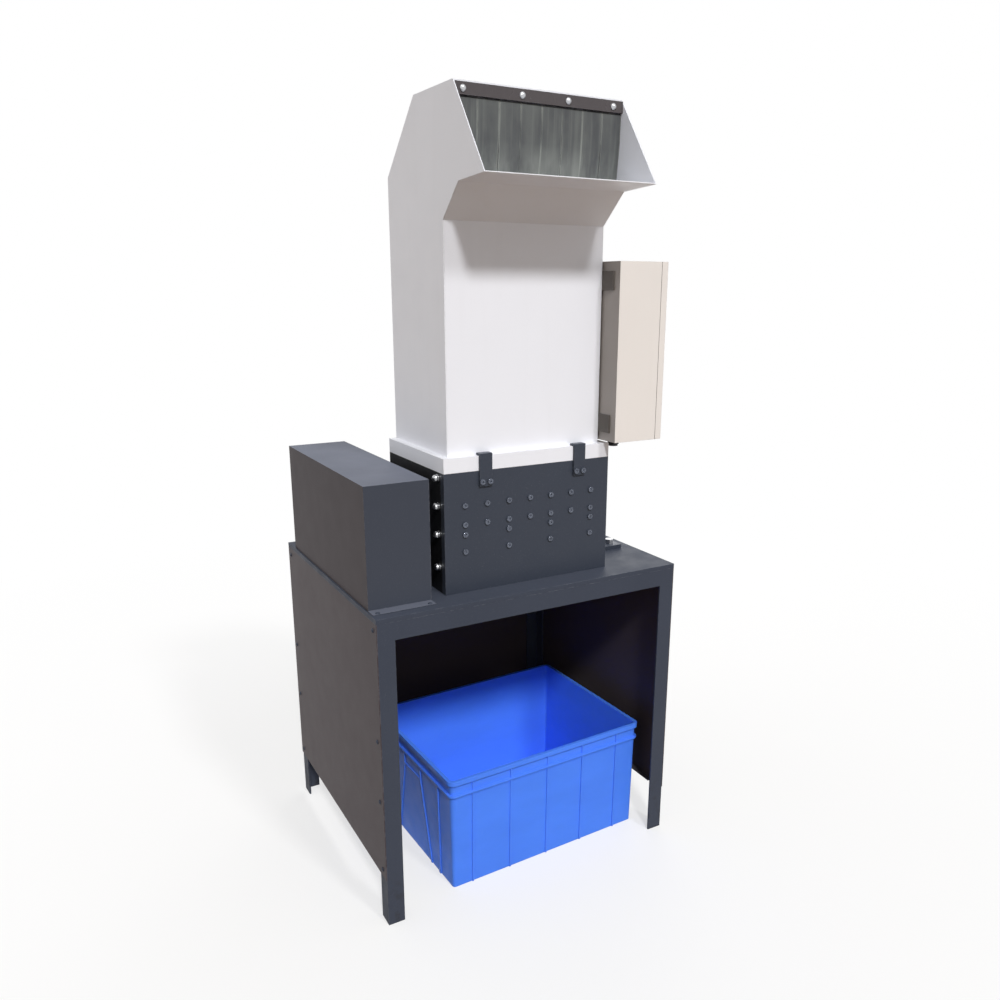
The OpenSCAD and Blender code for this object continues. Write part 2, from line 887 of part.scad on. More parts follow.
// bolts of the chamber's feet and of the motor's
module foot_bolts() {
  color("#b9bcc2")
    for (p = foot_bolt_places)
      translate([p[0], p[1], table_height + foot_thick])
        hex_bolt(foot_bolt_head, foot_bolt_rise, foot_bolt, foot_thick + top_thick);
  color("#b9bcc2")
    for (x = motor_foot_x)
      for (side = [-1, 1])
        translate([x, motor_y + side * motor_foot_y, rail_top + motor_foot_thick])
          hex_bolt(foot_bolt_head, foot_bolt_rise, foot_bolt - play,
            motor_foot_thick + rail_height);
}

module front_bolts() {
  color("#9a9ea6") {
    front_screw_places()
      rotate([180, 0, 0])
        socket_screw(screw_head, screw_head_height, screw_size, front_plate);
    clip_screw_places()
      rotate([180, 0, 0])
        socket_screw(screw_head, screw_head_height, screw_size, clip_thick + front_plate);
  }
}

// studs through the liners with a flanged dome nut outside
module liner_stud() {
  cylinder(d = stud_flange, h = clear * 2);
  translate([0, 0, clear * 2])
    dome_screw(stud_size * 1.7, dome_height, stud_size, side_plate + clear * 2);
}

module side_bolts() {
  color("#d6d8dc") {
    stud_places(ch_left, -90)
      liner_stud();
    stud_places(ch_right, 90)
      liner_stud();
  }
}

module wear_liners() {
  color("#6d6f74")
    for (x = [in_left, liner_right])
      difference() {
        block(x, x + liner_thick, in_front, in_rear,
          table_height + clear, ch_top - clear);
        along_x(x - clear, axis_y, axis_z)
          rod(shaft_body + 4 * clear, liner_thick + 2 * clear);
      }
}

module anvil_bars() {
  color("#808389")
    difference() {
      union() {
        block(work_left, work_right, in_front, in_front + anvil_thick,
          upper_split + clear / 2, anvil_top);
        block(work_left, work_right, in_front, in_front + anvil_thick,
          anvil_under, upper_split - clear / 2);
      }
      front_screw_places()
        translate([0, 0, front_plate])
          rod(screw_size * 0.85, anvil_thick + clear);
    }
}

// curved discharge screen with flat end flanges that lie on the screen rails
module screen() {
  color("#75787e")
    difference() {
      union() {
        along_x(work_left, axis_y, axis_z)
          rotate([0, 0, 180 + screen_angle])
            rotate_extrude(angle = 180 - 2 * screen_angle, $fn = 96)
              translate([screen_inner, 0])
                square([screen_wall, work_width]);
        block(work_left + clear, work_right - clear,
          in_front, axis_y - screen_reach + screen_wall / 2, screen_flange_z, screen_flange_top);
        block(work_left + clear, work_right - clear,
          axis_y + screen_reach - screen_wall / 2, in_rear, screen_flange_z, screen_flange_top);
      }
      for (share = hole_shares)
        for (a = hole_angles)
          along_x(work_left + work_width * share, axis_y, axis_z)
            rotate([0, 0, -a])
              rotate([0, 90, 0])
                translate([0, 0, screen_inner - screen_hole / 2])
                  rod(screen_hole, screen_hole);
    }
}

module screen_rails() {
  color("#3a4049") {
    block(work_left, work_right, in_front, in_front + rail_depth,
      screen_flange_z - rail_width, screen_flange_z);
    block(work_left, work_right, in_rear - rail_depth, in_rear,
      screen_flange_z - rail_width, screen_flange_z);
  }
}

// rotor and its bearings

// square flanged bearing housing on the local XY plane, with a tapered-edge boss
module flange_bearing() {
  edge = bearing_boss * 0.06;
  difference() {
    union() {
      linear_extrude(bearing_flange)
        rounded(bearing_side, bearing_side, bearing_side / 8);
      rotate_extrude()
        polygon([
          [0, 0], [bearing_boss / 2, 0], [bearing_boss / 2, bearing_depth - edge],
          [bearing_boss / 2 - edge, bearing_depth], [0, bearing_depth]]);
      translate([0, bearing_boss / 2 - edge, (bearing_flange + bearing_depth) / 2])
        rotate([-90, 0, 0])
          rod(bearing_bolt, edge * 2);
    }
    translate([0, 0, -clear])
      cylinder(r = shaft_journal / 2 + running_fit, h = bearing_depth + 2 * clear);
    for (sx = [-1, 1])
      for (sy = [-1, 1])
        translate([sx * bearing_pitch / 2, sy * bearing_pitch / 2, -clear])
          rod(bearing_bolt + play, bearing_flange + 2 * clear);
  }
}

module bearing_left() {
  color("#5a6472")
    translate([ch_left, axis_y, axis_z])
      rotate([90, 0, -90])
        flange_bearing();
}

module bearing_right() {
  color("#5a6472")
    along_x(ch_right, axis_y, axis_z)
      flange_bearing();
}

module bearing_bolts() {
  color("#b9bcc2") {
    bearing_bolt_places(ch_left - bearing_flange, -90)
      hex_bolt(bearing_bolt_head, bearing_bolt_rise, bearing_bolt - play,
        bearing_flange + side_plate);
    bearing_bolt_places(ch_right + bearing_flange, 90)
      hex_bolt(bearing_bolt_head, bearing_bolt_rise, bearing_bolt - play,
        bearing_flange + side_plate);
  }
}

// stepped shaft: chamfered ends, bearing journals and the thicker middle
module rotor_shaft() {
  long_left = ch_left - pulley_left;
  body_start = long_left + clear;
  body_end = long_left + chamber_width - clear;
  total = shaft_right - pulley_left;
  tip = shaft_journal * 0.06;
  color("#a9acb2")
    along_x(pulley_left, axis_y, axis_z)
      rotate_extrude()
        polygon([
          [0, 0], [shaft_journal / 2 - tip, 0], [shaft_journal / 2, tip],
          [shaft_journal / 2, body_start], [shaft_body / 2, body_start],
          [shaft_body / 2, body_end], [shaft_journal / 2, body_end],
          [shaft_journal / 2, total - tip], [shaft_journal / 2 - tip, total],
          [0, total]]);
}

// notched discs with their hubs
module rotor_discs() {
  spread = work_width - disc_thick - 4 * clear;
  color("#5f636b")
    for (i = [0 : disc_count - 1])
      along_x(work_left + 2 * clear + spread * i / (disc_count - 1), axis_y, axis_z)
        difference() {
          union() {
            cylinder(r = disc_radius, h = disc_thick);
            rod(hub_size, disc_thick);
          }
          translate([0, 0, -clear])
            rod(shaft_body, disc_thick + 2 * clear);
          for (k = [0 : beater_count - 1])
            rotate([0, 0, 360 * (k + 0.5) / beater_count])
              translate([beater_radius - beater_depth, -beater_thick / 2, -clear])
                cube([beater_depth, beater_thick, disc_thick + 2 * clear]);
        }
}

// hardened bars that sit in the discs' notches, each with a bevelled striking edge
module beater_bars() {
  bevel = beater_thick * 0.4;
  root = beater_radius - beater_depth;
  color("#8b8e94")
    for (k = [0 : beater_count - 1])
      along_x(work_left + 2 * clear, axis_y, axis_z)
        rotate([0, 0, 360 * (k + 0.5) / beater_count])
          linear_extrude(work_width - 4 * clear)
            polygon([
              [root, -beater_thick / 2], [beater_radius - bevel, -beater_thick / 2],
              [beater_radius, 0], [beater_radius, beater_thick / 2],
              [root, beater_thick / 2]]);
}

// belt drive

// half profile of a grooved pulley: radius against width
function groove_points(rim, i) =
  let (middle = pulley_edge + i * groove_pitch)
  [[rim, middle - groove_width / 2], [rim - groove_depth, middle - groove_root / 2],
    [rim - groove_depth, middle + groove_root / 2], [rim, middle + groove_width / 2]];

function rim_points(rim) =
  [for (i = [0 : belt_count - 1]) for (p = groove_points(rim, i)) p];

// grooved pulley; a large one has a thin web between its rim and hub
module pulley(rim, bore, hub, web) {
  edge = clear;
  ring = rim - groove_depth - web / 2;
  difference() {
    rotate_extrude($fn = 96)
      polygon(concat(
        [[bore, 0], [rim - edge, 0], [rim, edge]],
        rim_points(rim),
        [[rim, pulley_width - edge], [rim - edge, pulley_width], [bore, pulley_width]]));
    if (ring > hub + web)
      for (z = [-clear, (pulley_width + web) / 2])
        translate([0, 0, z])
          difference() {
            cylinder(r = ring, h = (pulley_width - web) / 2 + clear);
            translate([0, 0, -clear])
              cylinder(r = hub, h = pulley_width);
          }
    if (ring > hub + web)
      for (k = [0 : 4])
        rotate([0, 0, 72 * k])
          translate([(ring + hub) / 2, 0, -clear])
            rod((ring - hub) * 0.72, pulley_width + 2 * clear);
  }
}

module rotor_pulley() {
  color("#4f5259")
    along_x(pulley_left, axis_y, axis_z)
      pulley(rotor_pulley_r, shaft_journal / 2, shaft_journal, key_size);
}

module motor_pulley() {
  color("#4f5259")
    along_x(pulley_left, motor_y, motor_z)
      pulley(motor_pulley_r, motor_shaft_size / 2, motor_pulley_r, key_size);
}

// section of a belt, its back at the given radius
module belt_section(radius) {
  translate([radius, 0])
    polygon([
      [-belt_thick, -belt_root / 2], [0, -belt_width / 2],
      [0, belt_width / 2], [-belt_thick, belt_root / 2]]);
}

// one belt round both pulleys: two arcs joined by their common tangents
module belt() {
  rotate([0, 0, belt_wrap])
    rotate_extrude(angle = 360 - 2 * belt_wrap, $fn = 96)
      belt_section(rotor_pulley_r);
  translate([drive_centres, 0, 0])
    rotate([0, 0, -belt_wrap])
      rotate_extrude(angle = 2 * belt_wrap, $fn = 96)
        belt_section(motor_pulley_r);
  for (side = [0, 1])
    mirror([0, side, 0])
      rotate([0, 0, belt_wrap])
        rotate([90, 0, 0])
          linear_extrude(belt_run + seam / 10)
            belt_section(rotor_pulley_r);
}

module drive_belts() {
  color("#141416")
    for (i = [0 : belt_count - 1])
      along_x(pulley_left + pulley_edge + i * groove_pitch, axis_y, axis_z)
        rotate([0, 0, drive_angle])
          belt();
}

// motor: finned body with end shields, feet and a terminal box
module motor_frame() {
  core = motor_size / 2 - fin_height;
  foot_top = motor_z - core * 0.55;
  color("#59636f")
    difference() {
      union() {
        along_x(motor_face, motor_y, motor_z)
          motor_core(core);
        along_x(motor_front, motor_y, motor_z)
          motor_fins(core);
        for (x = motor_foot_x)
          for (side = [-1, 1])
            motor_foot(x, side, foot_top);
        terminal_box(core);
      }
      along_x(motor_face - clear, motor_y, motor_z)
        cylinder(r = motor_shaft_size / 2 + running_fit, h = motor_end - motor_face + 2 * clear);
      for (x = motor_foot_x)
        for (side = [-1, 1])
          translate([x, motor_y + side * motor_foot_y, rail_top - clear])
            rod(foot_bolt, motor_foot_thick + 2 * clear);
    }
}

// turned body with a stepped shield at each end
module motor_core(core) {
  whole = motor_end - motor_face;
  step = shield_depth * 0.45;
  rotate_extrude()
    polygon([
      [0, 0], [core * 0.45, 0], [core * 0.45, step * 0.5], [core * 0.9, step],
      [core + clear, shield_depth * 0.7], [core + clear, shield_depth],
      [core, shield_depth], [core, whole - shield_depth],
      [cowl_inner - seam, whole - shield_depth], [cowl_inner - seam, whole],
      [0, whole]]);
}

module motor_fins(core) {
  linear_extrude(motor_length)
    for (k = [0 : fin_count - 1])
      if (abs((360 * k / fin_count) % 180 - 90) > 14)
        rotate([0, 0, 360 * k / fin_count])
          translate([core - clear, -fin_thick / 2])
            square([fin_height + clear, fin_thick]);
}

module motor_foot(x, side, foot_top) {
  outer = motor_foot_y + motor_foot_wide / 2;
  web_out = motor_foot_y - motor_foot_wide / 2;
  translate([x - motor_foot_long / 2, motor_y, 0])
    mirror([0, side < 0 ? 1 : 0, 0])
      along_x(0, 0, 0)
        linear_extrude(motor_foot_long)
          polygon([
            [web_out * 0.6, rail_top], [outer, rail_top],
            [outer, rail_top + motor_foot_thick],
            [web_out, rail_top + motor_foot_thick],
            [web_out - motor_foot_thick / 2, foot_top],
            [web_out * 0.6, foot_top]]);
}

module terminal_box(core) {
  side = motor_size * 0.56;
  lift = motor_z + core * 0.8;
  rise = motor_z + motor_size / 2 + motor_height * 0.04;
  middle = motor_front + motor_length * 0.4;
  translate([middle, motor_y, lift])
    linear_extrude(rise - lift)
      rounded(side, side, side / 10);
}

// fan cowl: a shallow cup over the motor's rear with air slots round its middle
module motor_cowl() {
  outer = motor_size / 2;
  inner_end = cowl_length - cowl_wall;
  bend = cowl_corner + cowl_wall / 2;
  color("#4d5661")
    along_x(motor_rear + shield_depth / 2, motor_y, motor_z)
      difference() {
        rotate_extrude($fn = 96)
          polygon([
            [cowl_inner, 0], [outer, 0], [outer, cowl_length - cowl_corner],
            [outer - cowl_corner, cowl_length], [0, cowl_length], [0, inner_end],
            [outer - bend, inner_end], [cowl_inner, cowl_length - bend]]);
        for (k = [-4 : 4])
          translate([(k - 1 / 4) * cowl_slot * 2, -outer * 0.6, cowl_length - cowl_slot])
            cube([cowl_slot, outer * 1.2, cowl_slot * 2]);
      }
}

module motor_rails() {
  inner = motor_foot_y - motor_foot_wide / 2;
  long = motor_length * 1.15;
  start = (motor_foot_x[0] + motor_foot_x[1] - long) / 2;
  color("#3a4049")
    for (side = [-1, 1])
      difference() {
        block(start, start + long,
          motor_y + side * motor_foot_y - rail_wide / 2,
          motor_y + side * motor_foot_y + rail_wide / 2,
          table_height, rail_top);
        for (x = motor_foot_x)
          translate([x, motor_y + side * motor_foot_y, table_height - clear])
            rod(foot_bolt, rail_height + 2 * clear);
      }
}

module motor_shaft() {
  color("#a9acb2")
    along_x(pulley_left, motor_y, motor_z)
      rotate_extrude()
        polygon([
          [0, 0], [motor_shaft_size / 2 - clear, 0], [motor_shaft_size / 2, clear],
          [motor_shaft_size / 2, motor_end - pulley_left - 2 * clear],
          [0, motor_end - pulley_left - 2 * clear]]);
}

// belt guard

guard_screw_places = [
  [guard_left + guard_width * 0.09, guard_front - guard_foot * 0.75],
  [guard_right - guard_width * 0.09, guard_front - guard_foot * 0.75]];

// folded cover: front, left, rear and roof in one sheet, with a screwed foot at the front
module belt_guard() {
  color("#5a6170")
    difference() {
      union() {
        difference() {
          block(guard_left, guard_right - guard_sheet, guard_front, guard_rear,
            table_height, guard_top);
          block(guard_left + guard_sheet, guard_right,
            guard_front + guard_sheet, guard_rear - guard_sheet,
            table_height - clear, guard_top - guard_sheet);
        }
        block(guard_left, guard_right - guard_sheet,
          guard_front - guard_foot, guard_front,
          table_height, table_height + guard_sheet);
      }
      for (p = guard_screw_places)
        translate([p[0], p[1], table_height - clear])
          rod(sheet_screw + play, guard_sheet + 2 * clear);
    }
}

// inner wall of the guard with the openings for both shafts
module guard_wall() {
  color("#5a6170")
    difference() {
      block(guard_right - guard_sheet, guard_right, guard_front, guard_rear,
        table_height, guard_top);
      along_x(guard_right - guard_sheet - clear, axis_y, axis_z)
        rod(guard_shaft_hole, guard_sheet + 2 * clear);
      along_x(guard_right - guard_sheet - clear, motor_y, motor_z)
        rod(guard_shaft_hole, guard_sheet + 2 * clear);
    }
}

// feed hopper

// angle-section frame round the duct's base, its flange level with the collar's top
module hopper_collar() {
  color("#f0f0f4")
    difference() {
      block(ch_left, ch_right, ch_front, ch_rear, ch_top, collar_top);
      block(ch_left + collar_wall, ch_right - collar_wall,
        ch_front + collar_wall, ch_rear - collar_wall,
        ch_top - clear, collar_top - collar_wall);
      block(hp_left, hp_right, hp_front, hp_rear, ch_top - clear, collar_top + clear);
    }
}

module hopper_side(x0, x1) {
  along_x(x0, 0, 0)
    linear_extrude(x1 - x0)
      polygon(side_profile);
}

module hopper_left() {
  color("#b9bac4")
    hopper_side(hp_left, hp_inner_left);
}

module hopper_right() {
  color("#c9cad2")
    difference() {
      hopper_side(hp_inner_right, hp_right);
      bracket_screw_places()
        translate([0, 0, -hopper_wall - clear])
          rod(sheet_screw + play, 2 * hopper_wall + 2 * clear);
    }
}

// duct front, sloping chin and lip, folded from one sheet
module hopper_front() {
  color("#eeeef2")
    bent_sheet(
      reversed([
        [hp_front, ch_top], [hp_front, throat_z], [chin_y, chin_z], [lip_y, lip_z]]),
      hopper_wall, hp_inner_left, hp_inner_right);
}

// duct back, sloping back, roof and the turned-down edge that carries the curtain
module hopper_rear() {
  color("#c9cad2")
    difference() {
      bent_sheet(
        [[hp_rear, ch_top], [hp_rear, back_z], [ridge_y, ridge_z], [roof_y, roof_z],
          [roof_y, roof_z - roof_flange]],
        hopper_wall, hp_inner_left, hp_inner_right);
      clamp_screw_places()
        translate([0, 0, -clamp_thick])
          rod(clamp_screw_shank + play, clamp_thick * 4);
    }
}

// strip curtain

module clamp_screw_places() {
  for (share = clamp_screw_shares)
    along_y(hp_inner_left + (hp_inner_right - hp_inner_left) * share,
      clamp_front, clamp_screw_z)
      children();
}

// flat bar with the packing strip that fills the curtain's thickness behind it
module clamp_bar() {
  color("#5a5050")
    difference() {
      union() {
        block(hp_inner_left, hp_inner_right, clamp_front, clamp_front + clamp_thick,
          clamp_under, clamp_top);
        block(hp_inner_left, hp_inner_right, clamp_front + clamp_thick, roof_y,
          clamp_under, clamp_top);
      }
      clamp_screw_places()
        translate([0, 0, -clear])
          rod(clamp_screw_shank + play, clamp_thick * 3);
    }
}

module clamp_screws() {
  color("#f2f2f2")
    clamp_screw_places()
      rotate([180, 0, 0])
        dome_screw(clamp_screw_head, clamp_screw_dome, clamp_screw_shank,
          clamp_thick + strip_thick + hopper_wall);
}

// one hanging strip: a rounded top edge at its bending line and a long forward curl
module strip(i) {
  color("#8d918d")
    translate([hp_inner_left + strip_gap + i * strip_pitch, strip_y, strip_z]) {
      along_x(play, 0, 0)
        rod(strip_thick - play, strip_wide - 2 * play);
      translate([0, curl_radius, 0])
        rotate([0, 90, 0])
          rotate([0, 0, -90])
            rotate_extrude(angle = strip_curl, $fn = 192)
              translate([curl_radius - strip_thick / 2, 0])
                square([strip_thick, strip_wide]);
    }
}

module strip_1() { strip(0); }
module strip_2() { strip(1); }
module strip_3() { strip(2); }
module strip_4() { strip(3); }
module strip_5() { strip(4); }
module strip_6() { strip(5); }
module strip_7() { strip(6); }
module strip_8() { strip(7); }

// hold-down clips that hook over the collar
module hold_down_clips() {
  color("#4c535f")
    difference() {
      for (share = clip_shares)
        translate([ch_left + chamber_width * share - clip_width / 2, 0, 0])
          bent_sheet(
            [[ch_front, clip_under], [ch_front, collar_top],
              [ch_front + clip_hook, collar_top]],
            clip_thick, 0, clip_width);
      clip_screw_places()
        translate([0, 0, -clear])
          rod(screw_size + play, clip_thick + 2 * clear);
    }
}

// enclosure

module bracket_screw_places() {
  for (z = [bx_floor + bracket_wide, bx_top - bracket_wide])
    for (y = [hp_front + bracket_wide / 2, bx_rear - bracket_wide / 2])
      translate([hp_right, y, z])
        rotate([0, 90, 0])
          children();
}

// two flat bars between the hopper and the enclosure
module enclosure_brackets() {
  color("#c6c4c0")
    for (z = [bx_floor + bracket_wide, bx_top - bracket_wide])
      block(hp_right, bx_back, bx_front + bracket_wide / 2, bx_rear - box_wall,
        z - bracket_wide / 2, z + bracket_wide / 2);
}

// sheet box open to the right, with a turned-in rim and fixed hinge knuckles
module enclosure() {
  color("#e4dfd8")
    difference() {
      union() {
        difference() {
          block(bx_back, bx_open, bx_front, bx_rear, bx_floor, bx_top);
          block(bx_back + box_wall, bx_open - box_wall,
            bx_front + box_wall, bx_rear - box_wall,
            bx_floor + box_wall, bx_top - box_wall);
          block(bx_back + box_wall, bx_open + clear,
            bx_front + rim_fold, bx_rear - rim_fold,
            bx_floor + rim_fold, bx_top - rim_fold);
        }
        for (share = hinge_shares)
          translate([hinge_x, hinge_y, bx_floor + box_height * share])
            hinge_knuckle(-hinge_long / 2, 0);
      }
      translate([gland_x, gland_y, bx_floor - clear])
        rod(gland_size + play, box_wall + 2 * clear);
    }
}

// half of a hinge: a barrel with a short leaf to the enclosure's side
module hinge_knuckle(z0, z1) {
  translate([0, 0, z0])
    rod(hinge_size, z1 - z0);
  block(-hinge_size / 2, hinge_size / 2, -hinge_size / 2, 0, z0, z1);
}

// switchgear on its mounting plate: contactor, overload relay and a row of terminals
module control_gear() {
  plate_x = bx_back + box_wall;
  plate_thick = 2;
  gear_x = plate_x + plate_thick;
  gear_wide = box_width * 0.16;
  gear_deep = box_depth * 0.62;
  gear_z = bx_floor + box_height * 0.55;
  low_z = bx_floor + box_height * 0.2;
  color("#d8d8d4") {
    block(plate_x, gear_x, bx_front + rim_fold * 2, bx_rear - rim_fold * 2,
      bx_floor + rim_fold * 2, bx_top - rim_fold * 2);
    for (k = [0 : 1])
      block(gear_x, gear_x + gear_deep,
        bx_middle_y + (k * 1.2 - 1.1) * gear_wide, bx_middle_y + (k * 1.2 - 0.1) * gear_wide,
        gear_z, gear_z + gear_wide * 1.6);
    block(gear_x, gear_x + gear_deep * 0.8,
      bx_middle_y - gear_wide * 1.1, bx_middle_y - gear_wide * 0.1,
      gear_z - gear_wide * 1.4, gear_z - clear);
    for (k = [0 : 7])
      block(gear_x, gear_x + gear_deep * 0.6,
        bx_middle_y + (k - 4) * gear_wide * 0.42,
        bx_middle_y + (k - 4) * gear_wide * 0.42 + gear_wide * 0.36,
        low_z, low_z + gear_wide);
  }
}

module cable_gland() {
  color("#2a2a2c")
    translate([gland_x, gland_y, bx_floor - gland_length])
      difference() {
        union() {
          rod(gland_size * 0.86, gland_length / 2);
          translate([0, 0, gland_length * 0.2])
            cylinder(d = gland_nut * 0.92 / cos(30), h = gland_length * 0.4, $fn = 6);
          translate([0, 0, gland_length * 0.7])
            cylinder(d = gland_nut / cos(30), h = gland_length * 0.3, $fn = 6);
          rod(gland_size, gland_length + box_wall * 5);
          translate([0, 0, gland_length + box_wall])
            cylinder(d = gland_nut / cos(30), h = box_wall * 3, $fn = 6);
        }
        translate([0, 0, -clear])
          rod(gland_bore, gland_length * 2);
      }
}

// door: a shallow pan with turned-in edges, button bezels and the moving hinge knuckles
module enclosure_door() {
  inner_x = bx_open + door_gap;
  color("#e9e4dd")
    difference() {
      union() {
        difference() {
          block(inner_x, bx_face, bx_front, bx_rear, bx_floor, bx_top);
          block(inner_x - clear, bx_face - box_wall,
            bx_front + box_wall, bx_rear - box_wall,
            bx_floor + box_wall, bx_top - box_wall);
        }
        for (share = hinge_shares)
          translate([hinge_x, hinge_y, bx_floor + box_height * share]) {
            translate([0, 0, play])
              rod(hinge_size - 2 * play, hinge_long / 2);
            block(0, inner_x - hinge_x + box_wall, 0, hinge_size / 2 - play,
              play, hinge_long / 2 + play);
            block(inner_x - hinge_x, inner_x - hinge_x + door_depth / 2,
              -hinge_size / 2, hinge_size / 2, play, hinge_long / 2 + play);
          }
        for (z = button_z)
          along_x(bx_face, button_y, z)
            rod(bezel_size, bezel_rise);
      }
      for (z = button_z)
        along_x(bx_face - box_wall - clear, button_y, z)
          rod(button_size + 2 * play, box_wall + bezel_rise + 2 * clear);
      along_x(bx_face - box_wall - clear, latch_y, latch_z)
        rod(latch_size * 0.6 + 2 * play, box_wall + 2 * clear);
    }
}

// quarter-turn latch: slotted escutcheon outside, cam inside, shown unlatched with the cam down
module door_latch() {
  cam_x = bx_open - latch_size / 4;
  color("#8f9298") {
    along_x(bx_face + play, latch_y, latch_z)
      difference() {
        rod(latch_size, bezel_rise);
        translate([0, 0, bezel_rise])
          cube([latch_size * 0.14, latch_size * 0.6, bezel_rise], center = true);
      }
    along_x(cam_x, latch_y, latch_z)
      rod(latch_size * 0.6, bx_face - cam_x + bezel_rise / 2);
    block(cam_x - 2 * clear, cam_x,
      latch_y - latch_size * 0.25, latch_y + latch_size * 0.25,
      latch_z - latch_size, latch_z + latch_size * 0.25);
  }
}

module push_button(z) {
  along_x(bx_face - door_depth * 0.6, button_y, z)
    rotate_extrude()
      polygon([
        [0, 0], [button_size / 2, 0],
        [button_size / 2, door_depth * 0.6 + button_rise - clear],
        [button_size / 2 - clear, door_depth * 0.6 + button_rise],
        [0, door_depth * 0.6 + button_rise]]);
}

module start_button() {
  color("#2f9e44")
    push_button(button_z[0]);
}

module stop_button() {
  color("#c92a2a")
    push_button(button_z[1]);
}

// mushroom-headed emergency stop
module emergency_button() {
  neck = door_depth * 0.6 + bezel_rise + button_travel + clear;
  crown = mushroom_size / 2;
  color("#c92a2a")
    along_x(bx_face - door_depth * 0.6, button_y, button_z[2])
      rotate_extrude()
        polygon([
          [0, 0], [button_size / 2, 0], [button_size / 2, neck],
          [crown * 0.92, neck], [crown, neck + crown * 0.2],
          [crown * 0.94, neck + crown * 0.38], [crown * 0.7, neck + crown * 0.56],
          [crown * 0.36, neck + crown * 0.66], [0, neck + crown * 0.7]]);
}

// crate

// a leaning body with rounded corners: the wall moved outwards by the given amount
module crate_block(grow, z0, z1) {
  radius = crate_corner - rim_reach;
  half_x = crate_length / 2 - crate_corner;
  half_y = crate_width / 2 - crate_corner;
  low = radius + grow - crate_lean * (crate_height - z0) / crate_height;
  high = radius + grow - crate_lean * (crate_height - z1) / crate_height;
  for (sx = [-1, 1])
    for (sy = [-1, 1])
      translate([sx * half_x, sy * half_y, z0])
        cylinder(r1 = low, r2 = high, h = z1 - z0);
  translate([-half_x, 0, 0])
    rotate([90, 0, 90])
      linear_extrude(2 * half_x)
        crate_section(half_y + low, half_y + high, z0, z1);
  translate([0, half_y, 0])
    rotate([90, 0, 0])
      linear_extrude(2 * half_y)
        crate_section(half_x + low, half_x + high, z0, z1);
}

module crate_section(low, high, z0, z1) {
  polygon([[-low, z0], [low, z0], [high, z1], [-high, z1]]);
}

// a level band round the crate that stands out from the rim's wall line
module crate_band(z0, z1, reach) {
  translate([0, 0, z0])
    linear_extrude(z1 - z0)
      rounded(crate_length - 2 * (rim_reach - reach), crate_width - 2 * (rim_reach - reach),
        crate_corner - rim_reach + reach);
}

// slabs right through the crate that leave the ribs standing on its walls
module rib_slabs() {
  for (share = rib_shares)
    translate([crate_length * (share - 0.5) - crate_rib / 2, -crate_width / 2, 0])
      cube([crate_rib, crate_width, crate_height - rim_height]);
  translate([-crate_length / 2, -brace_head - crate_rib / 2, handle_under])
    cube([crate_length, 2 * brace_head + crate_rib, crate_rib]);
  for (side = [-1, 1]) {
    translate([-crate_length / 2, side * side_rib_y - crate_rib, 0])
      cube([crate_length, 2 * crate_rib, crate_height - band_drop]);
    translate([-crate_length / 2, 0, 0])
      rotate([90, 0, 90])
        linear_extrude(crate_length)
          polygon([
            [side * brace_foot, 0], [side * (brace_foot + crate_rib), 0],
            [side * (brace_head + crate_rib), handle_under],
            [side * (brace_head + crate_rib), crate_height - band_drop],
            [side * brace_head, crate_height - band_drop],
            [side * brace_head, handle_under]]);
  }
}

module crate() {
  color("#3f6ee8")
    translate([crate_x, crate_y, 0])
      rotate([0, 0, crate_turn])
        difference() {
          union() {
            crate_block(0, 0, crate_height);
            crate_band(crate_height - rim_height, crate_height, rim_reach);
            crate_band(crate_height - band_drop, crate_height - band_drop + band_height,
              rim_reach * 0.8);
            intersection() {
              rib_slabs();
              crate_block(rib_deep, 0, crate_height);
            }
          }
          crate_block(-crate_wall, crate_wall, crate_height + clear);
        }
}

stand_frame();
top_plate();
left_panel();
right_panel();
rear_panel();
sheet_screws();
discharge_chute();
chamber_front();
chamber_left();
chamber_right();
chamber_rear();
chamber_feet();
foot_bolts();
front_bolts();
side_bolts();
wear_liners();
anvil_bars();
screen();
screen_rails();
bearing_left();
bearing_right();
bearing_bolts();
rotor_shaft();
rotor_discs();
beater_bars();
rotor_pulley();
drive_belts();
motor_frame();
motor_cowl();
motor_rails();
motor_shaft();
motor_pulley();
belt_guard();
guard_wall();
hopper_collar();
hopper_left();
hopper_right();
hopper_front();
hopper_rear();
clamp_bar();
clamp_screws();
strip_1();
strip_2();
strip_3();
strip_4();
strip_5();
strip_6();
strip_7();
strip_8();
hold_down_clips();
enclosure_brackets();
enclosure();
control_gear();
cable_gland();
enclosure_door();
door_latch();
start_button();
stop_button();
emergency_button();
crate();
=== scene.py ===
import json
import math
import bpy
import numpy as np
from mathutils import Matrix, Vector


